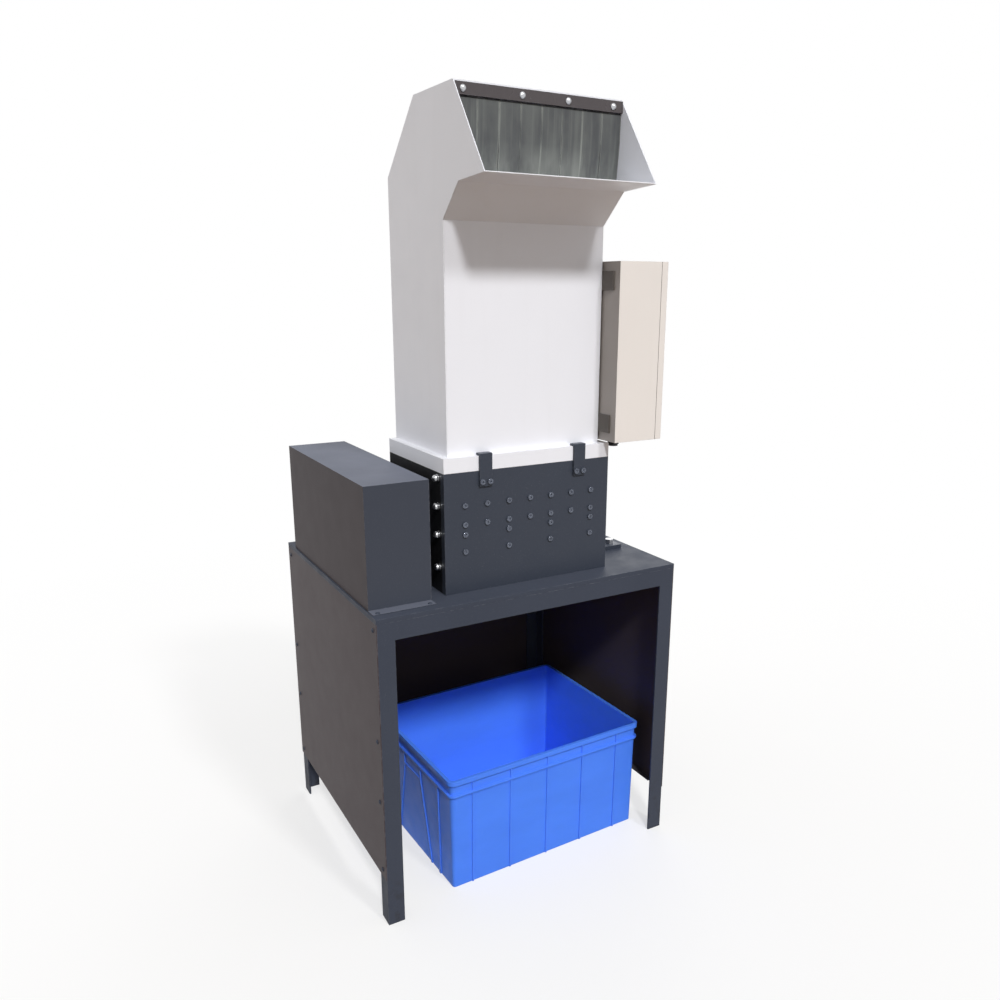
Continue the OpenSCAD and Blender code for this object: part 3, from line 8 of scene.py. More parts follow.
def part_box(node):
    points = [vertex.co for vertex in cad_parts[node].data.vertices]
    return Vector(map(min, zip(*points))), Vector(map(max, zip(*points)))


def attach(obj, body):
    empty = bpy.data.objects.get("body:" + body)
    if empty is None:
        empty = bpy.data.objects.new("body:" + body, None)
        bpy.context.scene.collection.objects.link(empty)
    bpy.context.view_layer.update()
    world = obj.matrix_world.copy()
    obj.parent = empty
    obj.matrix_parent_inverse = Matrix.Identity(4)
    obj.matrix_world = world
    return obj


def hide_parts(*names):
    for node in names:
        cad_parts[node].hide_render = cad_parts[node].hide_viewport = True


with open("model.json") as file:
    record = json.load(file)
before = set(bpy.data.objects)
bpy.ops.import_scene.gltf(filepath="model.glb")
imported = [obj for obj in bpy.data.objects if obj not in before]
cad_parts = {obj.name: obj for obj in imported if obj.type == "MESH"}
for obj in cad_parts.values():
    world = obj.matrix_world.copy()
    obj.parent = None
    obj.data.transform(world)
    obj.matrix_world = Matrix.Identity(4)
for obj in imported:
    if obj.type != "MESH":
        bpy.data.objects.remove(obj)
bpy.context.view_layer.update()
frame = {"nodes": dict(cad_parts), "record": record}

nodes = frame["nodes"]
print("frame loaded:", len(nodes), "nodes")


def fromScreen(red, green, blue):  # a colour as seen on a screen, 0 to 255, to linear light
    shares = np.array([red, green, blue], float) / 255
    linear = np.where(shares <= 0.04045, shares / 12.92, ((shares + 0.055) / 1.055) ** 2.4)
    return (*linear.tolist(), 1.0)


def place(tree, kind, sockets=None, **settings):  # one shader node, its sockets linked or set
    node = tree.nodes.new(kind)
    for key, value in settings.items():
        setattr(node, key, value)
    for key, value in (sockets or {}).items():
        if isinstance(value, bpy.types.NodeSocket):
            tree.links.new(value, node.inputs[key])
        else:
            node.inputs[key].default_value = value
    return node


def newMaterial(name):
    material = bpy.data.materials.new(name)
    material.use_nodes = True
    material.node_tree.nodes.clear()
    return material, material.node_tree


def objectPoints(tree, stretch=(1, 1, 1)):  # the piece's own coordinates, stretched
    coords = place(tree, "ShaderNodeTexCoord")
    return place(tree, "ShaderNodeMapping", {"Vector": coords.outputs["Object"], "Scale": stretch}).outputs[0]


def cloudy(tree, points, scale, detail=3.0, roughness=0.5):
    return place(tree, "ShaderNodeTexNoise", {
        "Vector": points, "Scale": scale, "Detail": detail, "Roughness": roughness}).outputs[0]


def between(tree, value, low, high, out=(0.0, 1.0)):  # value from low..high to out, clamped
    return place(tree, "ShaderNodeMapRange", {
        "Value": value, "From Min": low, "From Max": high, "To Min": out[0], "To Max": out[1]}).outputs[0]


def sums(tree, how, first, second):
    node = place(tree, "ShaderNodeMath", {0: first, 1: second}, operation=how)
    return node.outputs[0]


def mixColour(tree, share, first, second, blend="MIX"):
    node = place(tree, "ShaderNodeMix", {0: share, 6: first, 7: second}, data_type="RGBA", blend_type=blend)
    return node.outputs[2]


def edgeShare(tree, radius, low=0.03, high=0.25):  # near 1 on sharp edges: the rounded normal leaves the true one
    rounded = place(tree, "ShaderNodeBevel", {"Radius": radius}, samples=4)
    flat = place(tree, "ShaderNodeNewGeometry")
    dot = place(tree, "ShaderNodeVectorMath", {
        0: rounded.outputs[0], 1: flat.outputs["Normal"]}, operation="DOT_PRODUCT")
    return between(tree, sums(tree, "SUBTRACT", 1.0, dot.outputs["Value"]), low, high)


def facingUp(tree, low=0.85, high=0.99):  # near 1 on level tops, in the piece's own frame
    normal = place(tree, "ShaderNodeTexCoord").outputs["Normal"]
    height = place(tree, "ShaderNodeSeparateXYZ", {0: normal}).outputs["Z"]
    return between(tree, height, low, high)


def softNormal(tree, height, depth, strength, radius):  # bump over rounded edges
    rounded = place(tree, "ShaderNodeBevel", {"Radius": radius}, samples=4)
    return place(tree, "ShaderNodeBump", {
        "Height": height, "Distance": depth, "Strength": strength, "Normal": rounded.outputs[0]}).outputs[0]


def patchy(tree, points, scale, detail, low, high, out=(0.0, 1.0), roughness=0.5):  # a noise stretched to out
    return between(tree, cloudy(tree, points, scale, detail, roughness), low, high, out)


def surface(tree, colour, roughness, normal, **fixed):
    shader = place(tree, "ShaderNodeBsdfPrincipled", {"Base Color": colour, "Roughness": roughness, "Normal": normal})
    for key, value in fixed.items():
        shader.inputs[key.replace("_", " ")].default_value = value
    place(tree, "ShaderNodeOutputMaterial", {"Surface": shader.outputs[0]})
    return shader


# sprayed paint: slightly cloudy tone, fine peel, rubbed edges, thin dust and a painted sheen on level tops, scuffs
# near the floor
def paintedSheet(name, look):
    material, tree = newMaterial(name)
    points = objectPoints(tree)
    base = fromScreen(*look["colour"])
    dark = tuple(c * (1 - look["patch"]) for c in base[:3]) + (1.0,)
    light = tuple(min(1, c * (1 + look["patch"])) for c in base[:3]) + (1.0,)
    tone = mixColour(tree, patchy(tree, points, 5.0, 4.0, 0.3, 0.7), dark, light)
    speck = patchy(tree, points, 420.0, 2.0, 0.62, 0.75, (0.0, look["speck"]))
    tone = mixColour(tree, speck, tone, fromScreen(*look["speckColour"]))
    streak = cloudy(tree, objectPoints(tree, (26, 26, 1.6)), 1.0, 4.0, 0.6)
    tone = mixColour(tree, between(tree, streak, 0.55, 0.8, (0.0, look["streak"])), tone, fromScreen(*look["dirt"]))
    # dust and painted sheen: a paler bluish tone on level tops, partly real dust and partly the sheen that level tops
    # catch
    dustAndSheenCloud = patchy(tree, points, 6.0, 3.0, 0.3, 0.7, (look["dustAndSheen"] * 0.75, look["dustAndSheen"]))
    dustAndSheenShare = sums(tree, "MULTIPLY", facingUp(tree), dustAndSheenCloud)
    tone = mixColour(tree, dustAndSheenShare, tone, fromScreen(*look["dustAndSheenColour"]))
    if "leftShadeColour" in look:  # painted shade: a darker, warmer tone on the side turned to the left, where less light falls
        normal = place(tree, "ShaderNodeTexCoord").outputs["Normal"]
        turned = place(tree, "ShaderNodeSeparateXYZ", {0: normal}).outputs["X"]
        tone = mixColour(tree, between(tree, turned, -0.6, -0.95), tone, fromScreen(*look["leftShadeColour"]))
    worn = patchy(tree, points, 70.0, 4.0, 0.45, 0.6, (0.0, look["wear"]))
    rub = sums(tree, "MULTIPLY", edgeShare(tree, 0.0016), worn)
    tone = mixColour(tree, rub, tone, fromScreen(*look["wearColour"]))
    low = place(tree, "ShaderNodeSeparateXYZ", {0: points}).outputs["Z"]
    marks = patchy(tree, points, 38.0, 5.0, 0.5, 0.66, roughness=0.65)
    scuff = sums(tree, "MULTIPLY", between(tree, low, 0.16, 0.0, (0.0, look["scuff"])), marks)
    tone = mixColour(tree, scuff, tone, fromScreen(*look["dirt"]))
    peel = cloudy(tree, points, look["peelScale"], 2.0)
    waves = cloudy(tree, points, 3.0, 2.0)
    relief = sums(tree, "ADD", sums(tree, "MULTIPLY", peel, 0.12), sums(tree, "MULTIPLY", waves, look["waves"]))
    spread = (look["roughness"] - 0.07 * look["uneven"], look["roughness"] + 0.09 * look["uneven"])
    rough = patchy(tree, points, 22.0, 5.0, 0.3, 0.7, spread)
    rough = sums(tree, "ADD", rough, sums(tree, "MULTIPLY", dustAndSheenShare, 0.1))
    surface(
        tree, tone, rough, softNormal(tree, relief, 0.002, look["peel"], look["round"]),
        Specular_IOR_Level=look["shine"])
    return material


paintDefaults = {
    "patch": 0.04, "speck": 0.12, "speckColour": (130, 132, 138), "streak": 0.05, "dirt": (54, 52, 52),
    "dustAndSheen": 0.14, "dustAndSheenColour": (150, 155, 172), "wear": 0.5, "wearColour": (140, 143, 150), "scuff": 0.6,
    "peel": 0.1, "peelScale": 700.0, "waves": 0.2, "roughness": 0.34, "uneven": 1.0, "round": 0.0012,
    "shine": 0.2}

paints = {
    "standPaint": {**paintDefaults, "colour": (65, 70, 82), "dustAndSheen": 0.04, "shine": 0.06, "roughness": 0.44},
    # painted shade: the side panels get a warmer tone standing in for the light on left-facing faces
    "panelLeftShadePaint": {
        **paintDefaults, "colour": (74, 66, 69), "patch": 0.02, "streak": 0.02, "waves": 0.04, "shine": 0.07,
        "roughness": 0.42, "uneven": 0.25},
    # guard: its strong level-top tone is mostly painted sheen
    "guardPaint": {
        # the left-side tone here is a painted warm shade
        **paintDefaults, "colour": (67, 71, 81), "leftShadeColour": (72, 66, 69), "patch": 0.02, "streak": 0.02,
        "waves": 0.04, "shine": 0.05, "roughness": 0.44, "uneven": 0.25, "dustAndSheen": 0.38},
    "chamberPaint": {**paintDefaults, "colour": (54, 59, 70), "roughness": 0.42, "shine": 0.25},
    # painted shade: near black for the chamber's side plates, which sit in deep shade between guard and front plate
    "chamberShadeBlack": {**paintDefaults, "colour": (20, 20, 23), "roughness": 0.5, "speck": 0.06, "shine": 0.25},
    "motorPaint": {**paintDefaults, "colour": (66, 78, 92), "roughness": 0.45, "peel": 0.3},
    "hopperWhite": {
        **paintDefaults, "colour": (236, 237, 243), "patch": 0.01, "speck": 0.08, "speckColour": (200, 200, 202),
        "streak": 0.04, "dirt": (186, 182, 178), "dustAndSheen": 0.08, "dustAndSheenColour": (210, 208, 204), "wear": 0.25,
        "wearColour": (140, 142, 146), "scuff": 0.0, "peel": 0.08, "waves": 0.6, "roughness": 0.42, "round": 0.001,
        "shine": 0.4},
    "clampPaint": {
        **paintDefaults, "colour": (70, 64, 66), "speck": 0.05, "wear": 0.7, "roughness": 0.26, "round": 0.0007,
        "shine": 0.5},
    # painted shade: a darker paint for brackets that sit in shadow
    "bracketShadePaint": {
        **paintDefaults, "colour": (96, 92, 88), "speck": 0.04, "wear": 0.0, "scuff": 0.0, "roughness": 0.5,
        "shine": 0.1},
    # cabinet: its left side gets a painted shade where the hopper shades it
    "cabinetPaint": {
        **paintDefaults, "colour": (230, 224, 219), "leftShadeColour": (150, 144, 139), "patch": 0.012, "speck": 0.06,
        "speckColour": (200, 195, 188), "streak": 0.03, "dirt": (176, 168, 160), "dustAndSheen": 0.08,
        "dustAndSheenColour": (205, 202, 196), "wear": 0.2, "wearColour": (140, 140, 140), "scuff": 0.0, "peel": 0.16,
        "peelScale": 520.0, "roughness": 0.42, "shine": 0.4},
}

# which finish each material slot of the record gets
slotFinish = {
    "stand_paint": "standPaint", "panel_paint": "panelLeftShadePaint", "guard_paint": "guardPaint",
    "chamber_paint": "chamberPaint", "chamber_black": "chamberShadeBlack", "motor_paint": "motorPaint",
    "hopper_white": "hopperWhite", "clamp_paint": "clampPaint", "cabinet_paint": "cabinetPaint",
    "zinc_fastener": "zincFastener", "black_fastener": "darkFastener", "wear_steel": "wearSteel",
    "shaft_steel": "shaftSteel", "bearing_iron": "bearingIron", "pulley_iron": "pulleyIron",
    "crate_blue": "crateBlue", "belt_rubber": "beltRubber", "gear_plastic": "gearPlastic",
    "gland_plastic": "glandPlastic", "green_plastic": "greenPlastic", "red_plastic": "redPlastic"}


# bare steel or iron: turning or rolling lines along one axis, stains, worn bright edges that on the dark fasteners
# are also painted glints
def workedSteel(name, look):
    material, tree = newMaterial(name)
    points = objectPoints(tree)
    lines = cloudy(tree, objectPoints(tree, look["grain"]), 1.0, 3.0, 0.7)
    base, stain, brightWearAndGlint = (fromScreen(*look[k]) for k in ("colour", "stain", "brightWearAndGlint"))
    stained = patchy(tree, points, look["stainScale"], 5.0, 0.46, 0.66, (0.0, look["stained"]), 0.6)
    tone = mixColour(tree, stained, base, stain)
    tone = mixColour(tree, between(tree, lines, 0.4, 0.7, (0.0, 0.35)), tone, brightWearAndGlint)
    tone = mixColour(tree, edgeShare(tree, look["round"]), tone, brightWearAndGlint)
    rough = patchy(tree, points, 60.0, 4.0, 0.3, 0.7, (look["roughness"] - 0.08, look["roughness"] + 0.12))
    pits = sums(tree, "MULTIPLY", cloudy(tree, points, look["pitScale"], 3.0), look["pits"])
    pits = sums(tree, "ADD", sums(tree, "MULTIPLY", lines, 0.3), pits)
    surface(tree, tone, rough, softNormal(tree, pits, 0.001, look["relief"], look["round"]), Metallic=look["metal"])
    return material


steelDefaults = {
    "grain": (4, 900, 900), "stain": (96, 84, 72), "brightWearAndGlint": (205, 207, 210), "stainScale": 30.0, "stained": 0.35,
    "roughness": 0.34, "pits": 0.2, "pitScale": 500.0, "relief": 0.2, "round": 0.0005, "metal": 1.0}

steels = {
    "zincFastener": {
        **steelDefaults, "colour": (190, 191, 194), "grain": (500, 500, 500), "stained": 0.15, "roughness": 0.28},
    # painted highlight: on the dark bolt heads the pale bluish bright tone stands in for their glints
    "darkFastener": {
        **steelDefaults, "colour": (74, 80, 94), "stain": (40, 42, 48), "brightWearAndGlint": (176, 182, 196),
        "grain": (500, 500, 500), "roughness": 0.26, "metal": 0.55},
    "wearSteel": {
        **steelDefaults, "colour": (120, 119, 117), "grain": (900, 6, 6), "stained": 0.7, "roughness": 0.46,
        "pits": 0.9, "relief": 0.5},
    "shaftSteel": {
        **steelDefaults, "colour": (172, 174, 178), "grain": (1500, 5, 5), "stained": 0.12, "roughness": 0.25},
    "bearingIron": {
        **steelDefaults, "colour": (74, 84, 98), "brightWearAndGlint": (150, 156, 164), "grain": (300, 300, 300),
        "roughness": 0.5, "pits": 1.0, "relief": 0.4, "metal": 0.15},
    "pulleyIron": {
        **steelDefaults, "colour": (84, 84, 86), "grain": (1200, 4, 4), "roughness": 0.42, "pits": 0.8,
        "relief": 0.35, "metal": 0.8},
}


# moulded plastic or rubber: fine texture, faint flow marks, scuffed paler edges
def mouldedPlastic(name, look):
    material, tree = newMaterial(name)
    points = objectPoints(tree)
    base, pale = fromScreen(*look["colour"]), fromScreen(*look["pale"])
    dark = tuple(c * 0.93 for c in base[:3]) + (1.0,)
    flow = cloudy(tree, objectPoints(tree, look["flow"]), 1.0, 4.0, 0.6)
    tone = mixColour(tree, between(tree, flow, 0.35, 0.65), dark, base)
    scratch = patchy(tree, objectPoints(tree, (160, 22, 22)), 1.0, 5.0, 0.62, 0.72, (0.0, look["scratch"]), 0.7)
    tone = mixColour(tree, scratch, tone, pale)
    worn = patchy(tree, points, 45.0, 4.0, 0.35, 0.6, (0.1, look["wear"]))
    rub = sums(tree, "MULTIPLY", edgeShare(tree, look["round"] * 1.4), worn)
    tone = mixColour(tree, rub, tone, pale)
    if "plateTo" in look:  # the switch gear: pale clamps low down, and the zinc plate behind everything
        apart = place(tree, "ShaderNodeSeparateXYZ", {0: points})
        higher = between(tree, apart.outputs["Z"], look["clampsTo"], look["clampsTo"] + 0.001)
        tone = mixColour(tree, higher, fromScreen(*look["clampColour"]), tone)
        beyond = between(tree, apart.outputs["X"], look["plateTo"], look["plateTo"] + 0.0002)
        tone = mixColour(tree, beyond, fromScreen(*look["plateColour"]), tone)
    rough = patchy(tree, points, 30.0, 4.0, 0.3, 0.7, (look["roughness"] - 0.05, look["roughness"] + 0.1))
    sink = sums(tree, "MULTIPLY", cloudy(tree, points, 9.0, 2.0), look["sink"])
    grain = sums(tree, "ADD", cloudy(tree, points, look["grainScale"], 2.0), sink)
    relief = softNormal(tree, grain, 0.0008, look["grain"], look["round"])
    shader = surface(tree, tone, rough, relief, Specular_IOR_Level=look["shine"])
    shader.inputs["Subsurface Weight"].default_value = look["glow"]
    shader.inputs["Subsurface Radius"].default_value = (0.2, 0.3, 1.0)
    shader.inputs["Subsurface Scale"].default_value = 0.004
    return material


plasticDefaults = {
    "flow": (5, 5, 12), "pale": (190, 190, 190), "scratch": 0.08, "wear": 0.3, "roughness": 0.4, "grain": 0.15,
    "grainScale": 900.0, "sink": 1.5, "round": 0.0008, "glow": 0.0, "shine": 0.4}

plastics = {
    "crateBlue": {
        **plasticDefaults, "colour": (80, 136, 255), "pale": (132, 172, 252), "roughness": 0.38, "round": 0.0014,
        "glow": 0.1, "wear": 0.35, "sink": 4.0, "shine": 0.14},
    "beltRubber": {**plasticDefaults, "colour": (26, 26, 27), "pale": (70, 70, 72), "roughness": 0.75, "grain": 0.5},
    "gearPlastic": {
        **plasticDefaults, "colour": (62, 64, 68), "pale": (150, 150, 152), "roughness": 0.5, "clampsTo": 1.16,
        "clampColour": (170, 166, 154), "plateTo": 0.2087, "plateColour": (176, 178, 180)},
    "glandPlastic": {**plasticDefaults, "colour": (30, 30, 32), "pale": (90, 90, 92), "roughness": 0.45},
    "greenPlastic": {**plasticDefaults, "colour": (34, 140, 70), "pale": (120, 200, 150), "roughness": 0.25},
    "redPlastic": {**plasticDefaults, "colour": (190, 28, 24), "pale": (240, 120, 110), "roughness": 0.25},
}

finishes = {}
for finishName, look in paints.items():
    finishes[finishName] = paintedSheet(finishName, look)
for finishName, look in steels.items():
    finishes[finishName] = workedSteel(finishName, look)
for finishName, look in plastics.items():
    finishes[finishName] = mouldedPlastic(finishName, look)
print("finishes made:", len(finishes))

for part in frame["record"]["subparts"]:
    finish = finishes.get(slotFinish.get(part["material_slot"]))
    if part["node"] == "enclosure_brackets":  # painted shade: a darker paint for the brackets in the shadow between hopper and box
        finish = finishes["bracketShadePaint"]
    if finish and part["node"] in nodes:
        piece = nodes[part["node"]]
        piece.data.materials.clear()
        piece.data.materials.append(finish)
print("finishes given to the nodes")


# grids of points (rows, columns, 3) as closed tubes in one mesh: quads between the rows, end rows capped
def joinGrids(name, grids, finish, smooth=True):
    points, faces, start = [], [], 0
    for grid in grids:
        rows, columns = grid.shape[:2]
        index = np.arange(rows * columns).reshape(rows, columns) + start
        right = np.roll(index, -1, axis=1)
        faces += np.stack([index[:-1], right[:-1], right[1:], index[1:]], axis=-1).reshape(-1, 4).tolist()
        faces += [index[0][::-1].tolist(), index[-1].tolist()]
        points.append(grid.reshape(-1, 3))
        start += rows * columns
    mesh = bpy.data.meshes.new(name)
    mesh.from_pydata(np.vstack(points).tolist(), [], faces)
    mesh.update()
    mesh.materials.append(finish)
    mesh.polygons.foreach_set("use_smooth", np.full(len(mesh.polygons), smooth))
    piece = bpy.data.objects.new(name, mesh)
    bpy.context.scene.collection.objects.link(piece)
    return piece


# edge: the pale tone used for the streaks, the painted highlights on the cut edges and the painted light on the lower
# ends
strips = {
    "count": 8, "thick": 0.0020, "rows": 56, "across": 10, "cup": 0.0005, "ripple": 0.0005, "bend": 11,
    "bendSpread": 1.0, "widen": 0.0007, "colour": (99, 102, 101), "dark": (80, 82, 84), "edge": (168, 172, 166)}


# cloudy clear vinyl: soft streaks along each strip, painted highlights on the cut edges and painted light on the
# lower end, from the strip's UV
def curtainVinyl(name, look):
    material, tree = newMaterial(name)
    sheetPlace = place(tree, "ShaderNodeUVMap", uv_map="strip").outputs[0]
    across = place(tree, "ShaderNodeSeparateXYZ", {0: sheetPlace})
    points = objectPoints(tree)
    streaks = cloudy(tree, objectPoints(tree, (150, 2.0, 2.0)), 1.0, 3.0, 0.5)
    haze = cloudy(tree, objectPoints(tree, (26, 9, 9)), 1.0, 4.0, 0.55)
    base, dark, edge = (fromScreen(*look[k]) for k in ("colour", "dark", "edge"))
    tone = mixColour(tree, between(tree, haze, 0.36, 0.66), dark, base)
    tone = mixColour(tree, between(tree, streaks, 0.55, 0.8, (0.0, 0.16)), tone, edge)
    # painted highlight: a paler tone along each strip's cut edges
    rim = sums(tree, "ABSOLUTE", sums(tree, "SUBTRACT", across.outputs["X"], 0.5), 0.0)
    litRimShare = between(tree, rim, 0.44, 0.49)
    uneven = between(tree, haze, 0.4, 0.6, (0.1, 0.6))
    tone = mixColour(tree, sums(tree, "MULTIPLY", litRimShare, uneven), tone, edge)
    # painted light: a paler tone over the lower end of each strip
    litFootCloud = between(tree, haze, 0.36, 0.62, (0.25, 1.0))
    foot = sums(tree, "MULTIPLY", between(tree, across.outputs["Y"], 0.5, 0.98), litFootCloud)
    tone = mixColour(tree, sums(tree, "MULTIPLY", foot, 0.6), tone, edge)
    rough = between(tree, streaks, 0.3, 0.75, (0.3, 0.5))
    relief = sums(tree, "ADD", sums(tree, "MULTIPLY", streaks, 0.3), cloudy(tree, points, 24.0, 3.0))
    bump = place(tree, "ShaderNodeBump", {"Height": relief, "Distance": 0.002, "Strength": 0.2}).outputs[0]
    surface(tree, tone, rough, bump, IOR=1.45, Transmission_Weight=0.12, Specular_IOR_Level=0.3)
    return material


vinyl = curtainVinyl("stripVinyl", strips)
for number in range(1, strips["count"] + 1):
    low, high = (np.array(c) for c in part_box(f"strip_{number}"))
    thick, wide = strips["thick"], high[0] - low[0]
    drop = high[2] - low[2] - thick / 2
    seed = number * 1.7
    bend = math.radians(strips["bend"] + strips["bendSpread"] * (math.sin(seed * 2.3) - 1))
    radius = drop / math.sin(bend)
    share = np.linspace(0, 1, strips["rows"])[:, None]
    angle = share * bend
    # centre line: an arc that starts straight down and bends inwards, y = y0 + R (1 - cos a), z = z0 - R sin a
    centreY = low[1] + thick / 2 + radius * (1 - np.cos(angle))
    centreZ = high[2] - thick / 2 - radius * np.sin(angle)
    # cross section: a flat loop with rounded ends, the turn runs round it
    turn = np.linspace(0, 2 * np.pi, 2 * strips["across"] + 8, endpoint=False)[None, :]
    sideways = np.sign(np.cos(turn)) * np.abs(np.cos(turn)) ** 0.35
    outwards = np.sign(np.sin(turn)) * np.abs(np.sin(turn)) ** 0.5
    halfWide = wide / 2 + strips["widen"]
    away = outwards * thick / 2 * 0.9
    # slight cup across, growing down the strip, and a slow ripple along it
    cup = strips["cup"] * share * (sideways ** 2 - 0.4) * math.sin(seed)
    ripple = strips["ripple"] * share * np.sin(share * 9 + seed * 3 + sideways * 1.5)
    away = away + cup + ripple
    x = (low[0] + high[0]) / 2 + sideways * halfWide + 0 * share
    y = centreY - np.cos(angle) * away
    z = centreZ - np.sin(angle) * away
    piece = joinGrids(f"curtain_strip_{number}", [np.stack([x, y, z], axis=-1)], vinyl)
    uv = piece.data.uv_layers.new(name="strip")
    corner = np.empty(len(piece.data.loops), int)
    piece.data.loops.foreach_get("vertex_index", corner)
    flat = np.stack([(sideways * 0.5 + 0.5) + 0 * share, share + 0 * sideways], axis=-1).reshape(-1, 2)
    uv.data.foreach_set("uv", flat[corner].ravel())
    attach(piece, f"strip_{number}")
    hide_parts(f"strip_{number}")
print("curtain strips made")

beads = {
    "size": 0.0028, "pitch": 0.0042, "sides": 8, "step": 0.0014, "sink": 0.3, "inset": 0.002, "frontPlate": 0.016}


# a rippled bead along a line: radius r (1 + 0.1 sin(2 pi s / pitch)) round the line, sunk a little into the corner
def weldBead(start, end, outward, size):
    start, end, outward = (np.array(p, float) for p in (start, end, outward))
    length = np.linalg.norm(end - start)
    along = (end - start) / length
    outward = outward / np.linalg.norm(outward)
    across = np.cross(along, outward)
    s = np.linspace(0, length, max(8, int(length / beads["step"])))[:, None]
    t = np.linspace(0, 2 * np.pi, beads["sides"], endpoint=False)[None, :]
    ends = np.clip(np.minimum(s, length - s) / size, 0.15, 1) ** 0.5
    r = size * ends * (1 + 0.1 * np.sin(2 * np.pi * s / beads["pitch"] + 1.2 * np.cos(t)))
    centre = start + along * s[..., None] - outward * size * beads["sink"]
    return centre + (np.cos(t)[..., None] * outward + np.sin(t)[..., None] * across) * r[..., None]


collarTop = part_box("hopper_collar")[1][2]
hopperLeft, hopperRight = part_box("hopper_left")[0][0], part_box("hopper_right")[1][0]
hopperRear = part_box("hopper_rear")[1][1]
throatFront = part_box("chamber_front")[0][1] + beads["frontPlate"]
edge = beads["inset"]
joint = [  # start, end and the way out of the corner
    ((hopperLeft, throatFront + edge), (hopperLeft, hopperRear - edge), (-1, 0, 1)),
    ((hopperRight, throatFront + edge), (hopperRight, hopperRear - edge), (1, 0, 1)),
    ((hopperLeft + edge, throatFront), (hopperRight - edge, throatFront), (0, -1, 1)),
    ((hopperLeft + edge, hopperRear), (hopperRight - edge, hopperRear), (0, 1, 1))]
joint = [weldBead((*start, collarTop), (*end, collarTop), way, beads["size"]) for start, end, way in joint]
hopperBead = joinGrids("hopper_bead", joint, finishes["hopperWhite"])
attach(hopperBead, "machine")
print("hopper bead made")

# rings of (place along X, radius) pairs turned about a line parallel to X
def turnedAboutX(centreY, centreZ, profile, columns):
    turn = np.linspace(0, 2 * np.pi, columns, endpoint=False)[None, :]
    along, radius = (np.array(profile, float)[:, k][:, None] for k in (0, 1))
    return np.stack([along + 0 * turn, centreY + radius * np.cos(turn), centreZ + radius * np.sin(turn)], axis=-1)


# a straight bar of rectangular section from start to end, its thickness along "side"
def barBetween(start, end, side, wide, thick):
    start, end, side = (np.array(p, float) for p in (start, end, side))
    along = (end - start) / np.linalg.norm(end - start)
    across = np.cross(along, side)
    corners = [side * a * thick / 2 + across * b * wide / 2 for a, b in ((1, 1), (-1, 1), (-1, -1), (1, -1))]
    return np.array([[start + c for c in corners], [end + c for c in corners]])


fan = {
    "disc": 0.0062, "discThick": 0.002, "hub": 0.018, "hubTo": 0.028, "blades": 7, "bladeTo": 0.034, "rim": 0.074,
    "bladeThick": 0.0022}
shaftLow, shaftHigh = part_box("motor_shaft")
fanY, fanZ = (shaftLow[1] + shaftHigh[1]) / 2, (shaftLow[2] + shaftHigh[2]) / 2
discTo = fan["disc"] + fan["discThick"]
fanParts = [turnedAboutX(fanY, fanZ, [
    (fan["disc"], 0.004), (fan["disc"], fan["rim"]), (discTo, fan["rim"]), (discTo, fan["hub"]),
    (fan["hubTo"], fan["hub"] * 0.9), (fan["hubTo"], 0.004)], 64)]
for number in range(fan["blades"]):
    around = 2 * math.pi * number / fan["blades"]
    outward = np.array([0, math.cos(around), math.sin(around)])
    middle = np.array([(discTo + fan["bladeTo"]) / 2 - 0.0002, fanY, fanZ])
    side = np.cross(outward, (1, 0, 0))
    fanParts.append(barBetween(
        middle + outward * fan["hub"] * 0.85, middle + outward * fan["rim"] * 0.96, side,
        fan["bladeTo"] - discTo, fan["bladeThick"]))
motorFan = joinGrids("motor_fan", fanParts, finishes["glandPlastic"], smooth=False)
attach(motorFan, "motor_rotor")
print("motor fan made")

wires = {
    "radius": 0.0015, "sides": 8, "steps": 14, "screw": 0.0032, "screwHigh": 0.0014, "clampX": 0.238,
    "gearX": 0.2779, "lowGearX": 0.264, "wayX": 0.25, "relayX": 0.249, "pitch": 0.013, "into": 0.004}
gear = {  # the CAD's own sizes: the box, its margin, and the blocks on the plate
    "margin": 0.024, "boxHigh": 0.39, "footShare": 0.55, "clampShare": 0.2, "wide": 0.048, "clampPitch": 0.42,
    "clampHalf": 0.18}


# a smooth tube through some points: Catmull-Rom curve, rings carried along it without twist
def tubeThrough(points, radius):
    p = np.array(points, float)
    p = np.vstack([2 * p[0] - p[1], p, 2 * p[-1] - p[-2]])
    t = np.linspace(0, 1, wires["steps"], endpoint=False)[:, None]
    pieces = []
    for a, b, c, d in zip(p[:-3], p[1:-2], p[2:-1], p[3:]):
        square, cube = 2 * a - 5 * b + 4 * c - d, 3 * b - a - 3 * c + d
        pieces.append(0.5 * (2 * b + (c - a) * t + square * t ** 2 + cube * t ** 3))
    line = np.vstack(pieces + [p[-2:-1]])
    along = np.gradient(line, axis=0)
    along /= np.linalg.norm(along, axis=1)[:, None]
    outward = np.cross(along[0], (1.0, 0.13, 0.07))
    turn = np.linspace(0, 2 * np.pi, wires["sides"], endpoint=False)[:, None]
    rings = []
    for centre, way in zip(line, along):
        outward = outward - way * outward.dot(way)
        outward = outward / np.linalg.norm(outward)
        rings.append(centre + radius * (np.cos(turn) * outward + np.sin(turn) * np.cross(way, outward)))
    return np.array(rings)


